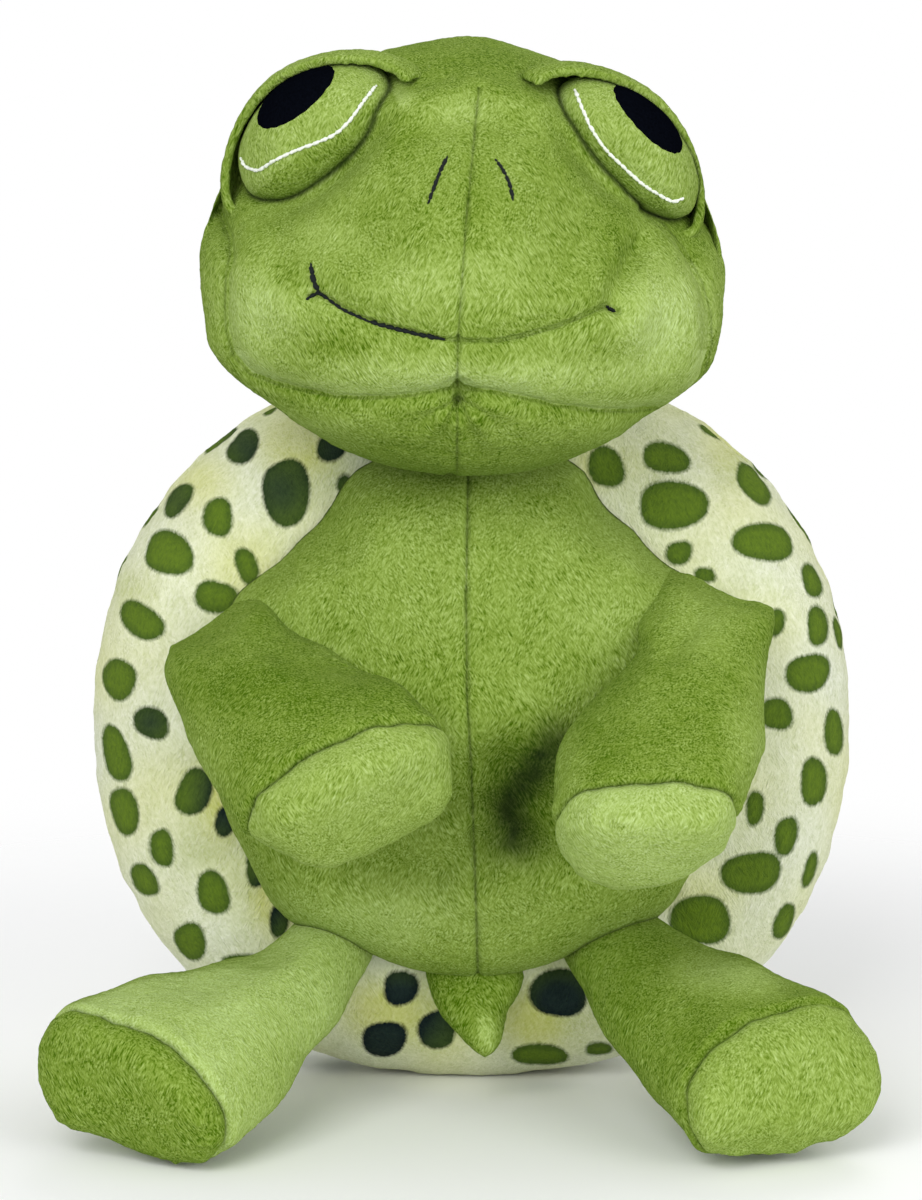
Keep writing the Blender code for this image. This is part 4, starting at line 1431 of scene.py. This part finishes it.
def stitch(name, tree, pixels, radius, lift=0.3, taper=0.25):
    """A thread on the cloth through places on the photo, thinner at its ends and between its stitches."""
    spots_on_cloth = []
    for pixel in smooth_line(pixels, 24):
        hit, normal = surface_point(tree, pixel.x, pixel.y)
        if hit:
            spots_on_cloth.append(hit + normal * radius * lift)
    bpy.ops.curve.primitive_nurbs_path_add()
    thread = named(name)
    data = thread.data
    data.splines.clear()
    spline = data.splines.new("POLY")
    spline.points.add(len(spots_on_cloth) - 1)
    last = len(spots_on_cloth) - 1
    length = 0
    for index, place in enumerate(spots_on_cloth):
        length += (place - spots_on_cloth[max(index - 1, 0)]).length
        between = (length / stitch_length) % 1 - 0.5
        ends = taper + (1 - taper) * min(1, min(index, last - index) / 8)
        spline.points[index].co = (*place, 1)
        spline.points[index].radius = ends * (1 - stitch_pinch * math.exp(-(between / 0.14) ** 2))
    data.bevel_depth = radius
    data.bevel_resolution = 4
    data.use_fill_caps = True
    data.dimensions = "3D"
    pick(thread)
    bpy.ops.object.convert(target="MESH")
    push(thread, lumps(points_of(thread), radius * 1.6, 3) * radius * 0.45)
    return thread


def joined(name, pieces):
    """One object made of several."""
    pick(pieces[0])
    for piece in pieces:
        piece.select_set(True)
    bpy.ops.object.join()
    return named(name)


head_tree = surface_tree(head)
mouth = joined("mouth_thread", [
    stitch("mouth_long", head_tree, [(366, 321), (391, 328), (416, 334), (445, 340)], 0.00054),
    stitch("mouth_thin", head_tree, [(319, 293), (329, 300), (345, 311), (372, 323)], 0.00038),
    stitch("corner_up", head_tree, [(311, 263), (314, 280), (319, 293)], 0.00055),
    stitch("corner_side", head_tree, [(306, 300), (313, 296), (319, 293), (329, 300)], 0.00045),
    stitch("far_corner", head_tree, [(606, 305), (610, 309), (616, 312)], 0.00042),
])
dress(mouth, black_thread, "black_thread", "head", "mouth_stitch")
nostril_pixels = {
    "right": [(448, 156), (441, 170), (434, 188), (428, 204)],
    "left": [(495, 159), (504, 172), (510, 186), (513, 201)],
}
white_pixels = {
    "right": [(241, 158), (247, 167), (259, 170), (272, 162), (292, 152), (318, 142), (335, 134), (349, 121),
              (358, 109), (366, 98), (376, 86)],
    "left": [(575, 90), (581, 105), (591, 127), (606, 149), (624, 167), (643, 184), (660, 195), (673, 201),
             (683, 198)],
}
for side, sign in both_sides:
    nostril = stitch(f"nostril_thread_{side}", head_tree, nostril_pixels[side], 0.00042)
    dress(nostril, black_thread, "black_thread", "head", f"nostril_{side}")
    line = stitch(f"eye_thread_{side}", surface_tree(buns[side]), white_pixels[side], 0.00042, taper=0.6)
    dress(line, white_thread, "white_thread", "head", f"eye_line_{side}")
    bun = buns[side]
    lay_pile(bun)
    # Painted shade on the bun's hanging lower part, away from its white line.
    below = line_distance(on_photo(points_of(bun)), white_pixels[side]) * pixel_size
    hanging = moved_by(eye_frame(sign).inverted(), points_of(bun))[:, 2] < -0.0040
    paint(bun, "nap_light_and_shade", 0.50 - 0.16 * hanging * smooth_share(below, 0, 0.0020))
    hood_tree = surface_tree(bpy.data.objects[f"eye_hood_{side}"])
    # Painted shade on the bun where it touches the head and the hood.
    paint(bun, "seam", np.maximum(0.8 * contact_shade(bun, head_tree, 0.0010), 0.8 * contact_shade(bun, hood_tree, 0.0007)))
    dress(bun, green_pile, "green_pile", "head", f"eye_{side}")

# %% [markdown]
# ## Limbs
#
# Arms and legs are stuffed tubes that end in a flat oval pad. Each is one form, cut at the pad's seam
# into the tube and the pad, so that the two can be different cloth.

# %% Limb forms
def limb_path(start, bend, end, share):
    """A place on the curve from the limb's root over its bend to its end."""
    rest = 1 - share
    return start * rest * rest + bend * (2 * share * rest) + end * share * share


def limb_stations(start, bend, end, tilt, root, full, shares):
    """The limb's rings: centre, width direction and half-sizes, growing from the root to the full size."""
    level = Vector((math.cos(tilt), 0, math.sin(tilt)))
    stations = []
    for share, width_share, thickness_share in shares:
        width = root[0] + (full[0] - root[0]) * width_share
        thickness = root[1] + (full[1] - root[1]) * thickness_share
        stations.append((limb_path(start, bend, end, share), level, width, thickness))
    return stations


def turn_end(piece, end, way, cap_way, length):
    """Slants the end of a limb, so that its flat faces along another direction."""
    points = points_of(piece)
    along = (points - np.array(end)) @ np.array(way)
    share = smooth_share(along, -length, 0)
    slant = np.array(cap_way) / cap_way.dot(way) - np.array(way)
    shift = np.maximum(((points - np.array(end)) @ slant) * share, -0.0010)
    move_points(piece, points - shift[:, None] * np.array(way))


def make_limb(name, stations, end, way, cap_way, pad_length, pad_name, pulls, voxel=0.0029):
    """A stuffed tube with a slanted end, pulled into its pose and cut at its pad's seam."""
    limb = tube_form(name + "_form", stations, 12)
    finer(limb, 1)
    remesh(limb, voxel)
    turn_end(limb, end, way, cap_way, 0.030)
    grab(limb, *pulls)
    apply_step(limb, "SMOOTH", factor=0.5, iterations=8)
    seam = end - cap_way * pad_length

    def seam_distance(points):
        return (points - np.array(seam)) @ np.array(cap_way)

    swell(limb, pressure=3.0, cap=0.0020, held=lambda points: near(seam_distance(points), 0.002))
    finer(limb, 2)
    settle(limb)
    beside_seam = seam_distance(points_of(limb))
    gathers = lumps(points_of(limb), 0.0055, 5) * near(beside_seam, 0.0045)
    push(limb, 0.0011 * gathers - 0.0011 * near(beside_seam, 0.0013))
    lay_pile(limb)
    paint(limb, "seam", 0.5 * near(seam_distance(points_of(limb)), 0.0006))
    print(name, "seam at", [round(value, 3) for value in seam])
    cover = cut_copy(limb, name, seam, cap_way)
    pad = cut_copy(limb, pad_name, seam, -cap_way)
    bpy.data.objects.remove(limb)
    return cover, pad


# %% [markdown]
# The limbs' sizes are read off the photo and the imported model. The two sides differ, because the photo
# shows a pose: the left arm hangs lower, and the right one crosses the belly. So each limb also has its
# own pulls, as a hand would pull the cloth, and its own brushed patches.

# %% Limb sizes
# each row: share of the way, share from root to full width, share from root to full thickness
limb_shares = [
    (-0.10, -0.25, -0.3), (0.04, 0.0, 0.0), (0.24, 0.36, 0.36), (0.45, 0.66, 0.68), (0.66, 0.86, 0.88),
    (0.86, 1.02, 1.02), (0.965, 0.96, 0.95), (1.0, 0.80, 0.76),
]
arm_root, arm_full = (0.0120, 0.0100), (0.0255, 0.0158)
arm_reach = {"left": 0.0740, "right": 0.0770}
arm_inward = {"left": 0.0200, "right": 0.0370}
arm_drop = {"left": 0.0505, "right": 0.0290}
arm_bow = {"left": 0.0080, "right": 0.0090}
arm_angle = {"left": math.radians(26), "right": math.radians(165)}
arm_tilt = math.radians(14)
arm_pad = 0.0120
leg_root, leg_full = (0.0125, 0.0104), (0.0267, 0.0178)
leg_reach = {"left": 0.0640, "right": 0.0630}
leg_outward = {"left": 0.0405, "right": 0.0480}
leg_centre = {"left": 0.0127, "right": 0.0141}
leg_bow = 0.0060
leg_angle = {"left": math.radians(-61), "right": math.radians(-119)}
leg_tilt = {"left": math.radians(6), "right": math.radians(-18)}
leg_pad = 0.0090

arm_nap = {
    "left": (0.25, [(560, 780, 40, 90, 0.16), (700, 625, 64, 66, 0.20), (752, 740, 40, 90, 0.20)]),
    "right": (0.24, [(210, 620, 50, 30, 0.06), (270, 690, 90, 44, -0.10), (200, 760, 40, 80, 0.16)]),
}
# The bright patch on the left leg's top is painted light, where the belly and the shell shade it.
leg_nap_and_light = {
    "left": (0.24, [(640, 980, 60, 50, -0.04), (738, 974, 100, 36, 0.38), (700, 1100, 60, 50, 0.10)]),
    "right": (0.38, [
        (180, 1000, 420, 420, 0.36), (300, 960, 60, 50, -0.04), (110, 1010, 60, 30, 0.06), (280, 1080, 60, 60, -0.08),
    ]),
}
pad_nap = {"paw_left": 0.64, "paw_right": 0.48, "sole_left": 0.43, "sole_right": 0.26}
cap_turn = {
    "arm_left": Vector((0.30, 0, 0)), "arm_right": Vector((-0.14, 0, 0)),
    "leg_left": Vector((0, 0, 0.42)), "leg_right": Vector((0, 0, 0.10)),
}
limb_pulls = {
    "arm_left": [
        (614, 660, 24, -4, 48), (572, 735, -10, 4, 48), (715, 550, 0, 26, 60), (690, 560, -8, 12, 50),
        (760, 612, 16, -2, 46), (528, 815, 16, 2, 60), (540, 860, 12, -8, 50), (740, 850, 6, -10, 50),
        (742, 578, 2, 18, 44), (680, 572, -2, -10, 40), (772, 705, -6, 0, 60), (766, 800, -12, 0, 60),
        (764, 838, -16, -8, 50), (715, 878, -8, -6, 50),
    ],
    "arm_right": [
        (195, 605, 16, 20, 56), (182, 668, -14, 2, 46), (190, 740, -4, 0, 60), (250, 600, 10, -4, 40),
        (345, 655, 0, 8, 60), (265, 870, 6, -12, 60), (450, 815, 10, 12, 50), (298, 622, -4, 12, 44),
        (405, 690, 4, -9, 44), (442, 724, 5, -9, 36),
    ],
    "leg_left": [
        (700, 935, 0, 14, 70), (790, 965, 0, 8, 60), (600, 1030, -8, 4, 60), (570, 965, -8, 0, 40),
        (740, 1176, 2, -18, 84), (820, 1164, 0, -10, 66), (672, 1136, 9, -6, 50), (818, 1000, 3, -6, 54),
    ],
    "leg_right": [
        (200, 940, 0, 30, 80), (120, 985, 0, 14, 60), (275, 915, 0, 18, 60), (262, 940, 2, 14, 50),
        (345, 1030, 8, 6, 50), (130, 1166, 2, -16, 90), (205, 1170, 2, -10, 60), (62, 1108, -7, 4, 50),
        (288, 1104, 9, 4, 60), (235, 945, 0, 6, 50), (95, 998, 0, -3, 50),
    ],
}


# %% [markdown]
# Each limb starts at the belly's seam. Arm and leg of a side are made one after the other, each as one
# stuffed form, and the belly then gets painted shade where the legs press on it.

# %% Arms and legs
def seam_start(angle):
    """The place on the belly's seam at an angle round it."""
    x, z = belly_outline(angle)
    return leaned(x, -shell_ring_depth, z)


legs = []
arm_folds = {"left": [(700, 612), (672, 650)], "right": [(262, 642), (300, 660), (352, 666)]}
for side, sign in both_sides:
    start = seam_start(arm_angle[side])
    reach = Vector((-sign * arm_inward[side], -arm_reach[side], -arm_drop[side]))
    bend = start + reach / 2 + Vector((sign * arm_bow[side], 0, arm_bow[side]))
    end = start + reach
    way = (end - bend).normalized()
    stations = limb_stations(start, bend, end, arm_tilt, arm_root, arm_full, limb_shares)
    cap_way = (way + cap_turn[f"arm_{side}"]).normalized()
    arm, paw = make_limb(
        f"arm_{side}", stations, end, way, cap_way, arm_pad, f"paw_{side}", limb_pulls[f"arm_{side}"]
    )
    draw_in(arm, arm_folds[side], 0.0012, 0.0040, 0.0006, 0.0070)
    base, patches = arm_nap[side]
    paint(arm, "nap_light_and_shade", patched_value(arm, base, patches))
    paint(paw, "nap_light_and_shade", patched_value(paw, pad_nap[f"paw_{side}"], []))
    dress(arm, green_pile, "green_pile", f"arm_{side}", f"arm_cover_{side}", f"arm_stuffing_{side}")
    dress(paw, green_pile, "light_pile", f"arm_{side}", f"paw_pad_{side}")

    start = seam_start(leg_angle[side])
    end = Vector((start.x + sign * leg_outward[side], start.y - leg_reach[side], leg_centre[side]))
    bend = (start + end) / 2 + Vector((sign * leg_bow, 0, 0))
    way = (end - bend).normalized()
    stations = limb_stations(start, bend, end, leg_tilt[side], leg_root, leg_full, limb_shares)
    cap_way = (way + cap_turn[f"leg_{side}"]).normalized()
    leg, sole = make_limb(
        f"leg_{side}", stations, end, way, cap_way, leg_pad, f"sole_{side}", limb_pulls[f"leg_{side}"]
    )
    # The legs' patches include painted light.
    base, patches = leg_nap_and_light[side]
    paint(leg, "nap_light_and_shade", patched_value(leg, base, patches))
    paint(sole, "nap_light_and_shade", patched_value(sole, pad_nap[f"sole_{side}"], []))
    dress(leg, green_pile, "green_pile", f"leg_{side}", f"leg_cover_{side}", f"leg_stuffing_{side}")
    dress(sole, green_pile, "light_pile", f"leg_{side}", f"sole_pad_{side}")
    legs.append(leg)
# Painted shade on the belly where the legs touch it.
paint(belly, "seam", np.maximum(belly_seams_and_shade, 0.65 * contact_shade(belly, surface_tree(*legs), 0.0010)))

# %% [markdown]
# ## Tail
#
# The tail is a small stuffed point, sewn into the seam under the belly.

# %% Tail
tail_length = 0.0240
tail_slope = math.radians(50)
tail_start = seam_start(math.radians(-90)) - Vector((0, 0.0020, 0))
tail_way = Vector((0, -math.cos(tail_slope), -math.sin(tail_slope)))
# each row: share of the length, half width, half thickness
tail_rows = [
    (-0.25, 0.0118, 0.0062), (0.15, 0.0118, 0.0068), (0.50, 0.0086, 0.0062), (0.82, 0.0044, 0.0040),
    (0.98, 0.0014, 0.0014),
]
tail_stations = [
    (tail_start + tail_way * (share * tail_length), Vector((1, 0, 0)), wide, thick)
    for share, wide, thick in tail_rows
]
tail = tube_form("tail", tail_stations, sides=12)
finer(tail, 1)
remesh(tail, 0.0018)
grab(tail, (474, 1046, 13, 4, 56), (512, 984, 7, 0, 34))
finer(tail, 1)
lay_pile(tail)
settle(tail)
# The patch at the tail's tip is a painted highlight.
paint(tail, "nap_light_and_shade", patched_value(tail, 0.22, [(486, 1034, 18, 30, 0.40)]))
dress(tail, green_pile, "green_pile", "tail", "tail_cover", "tail_stuffing")
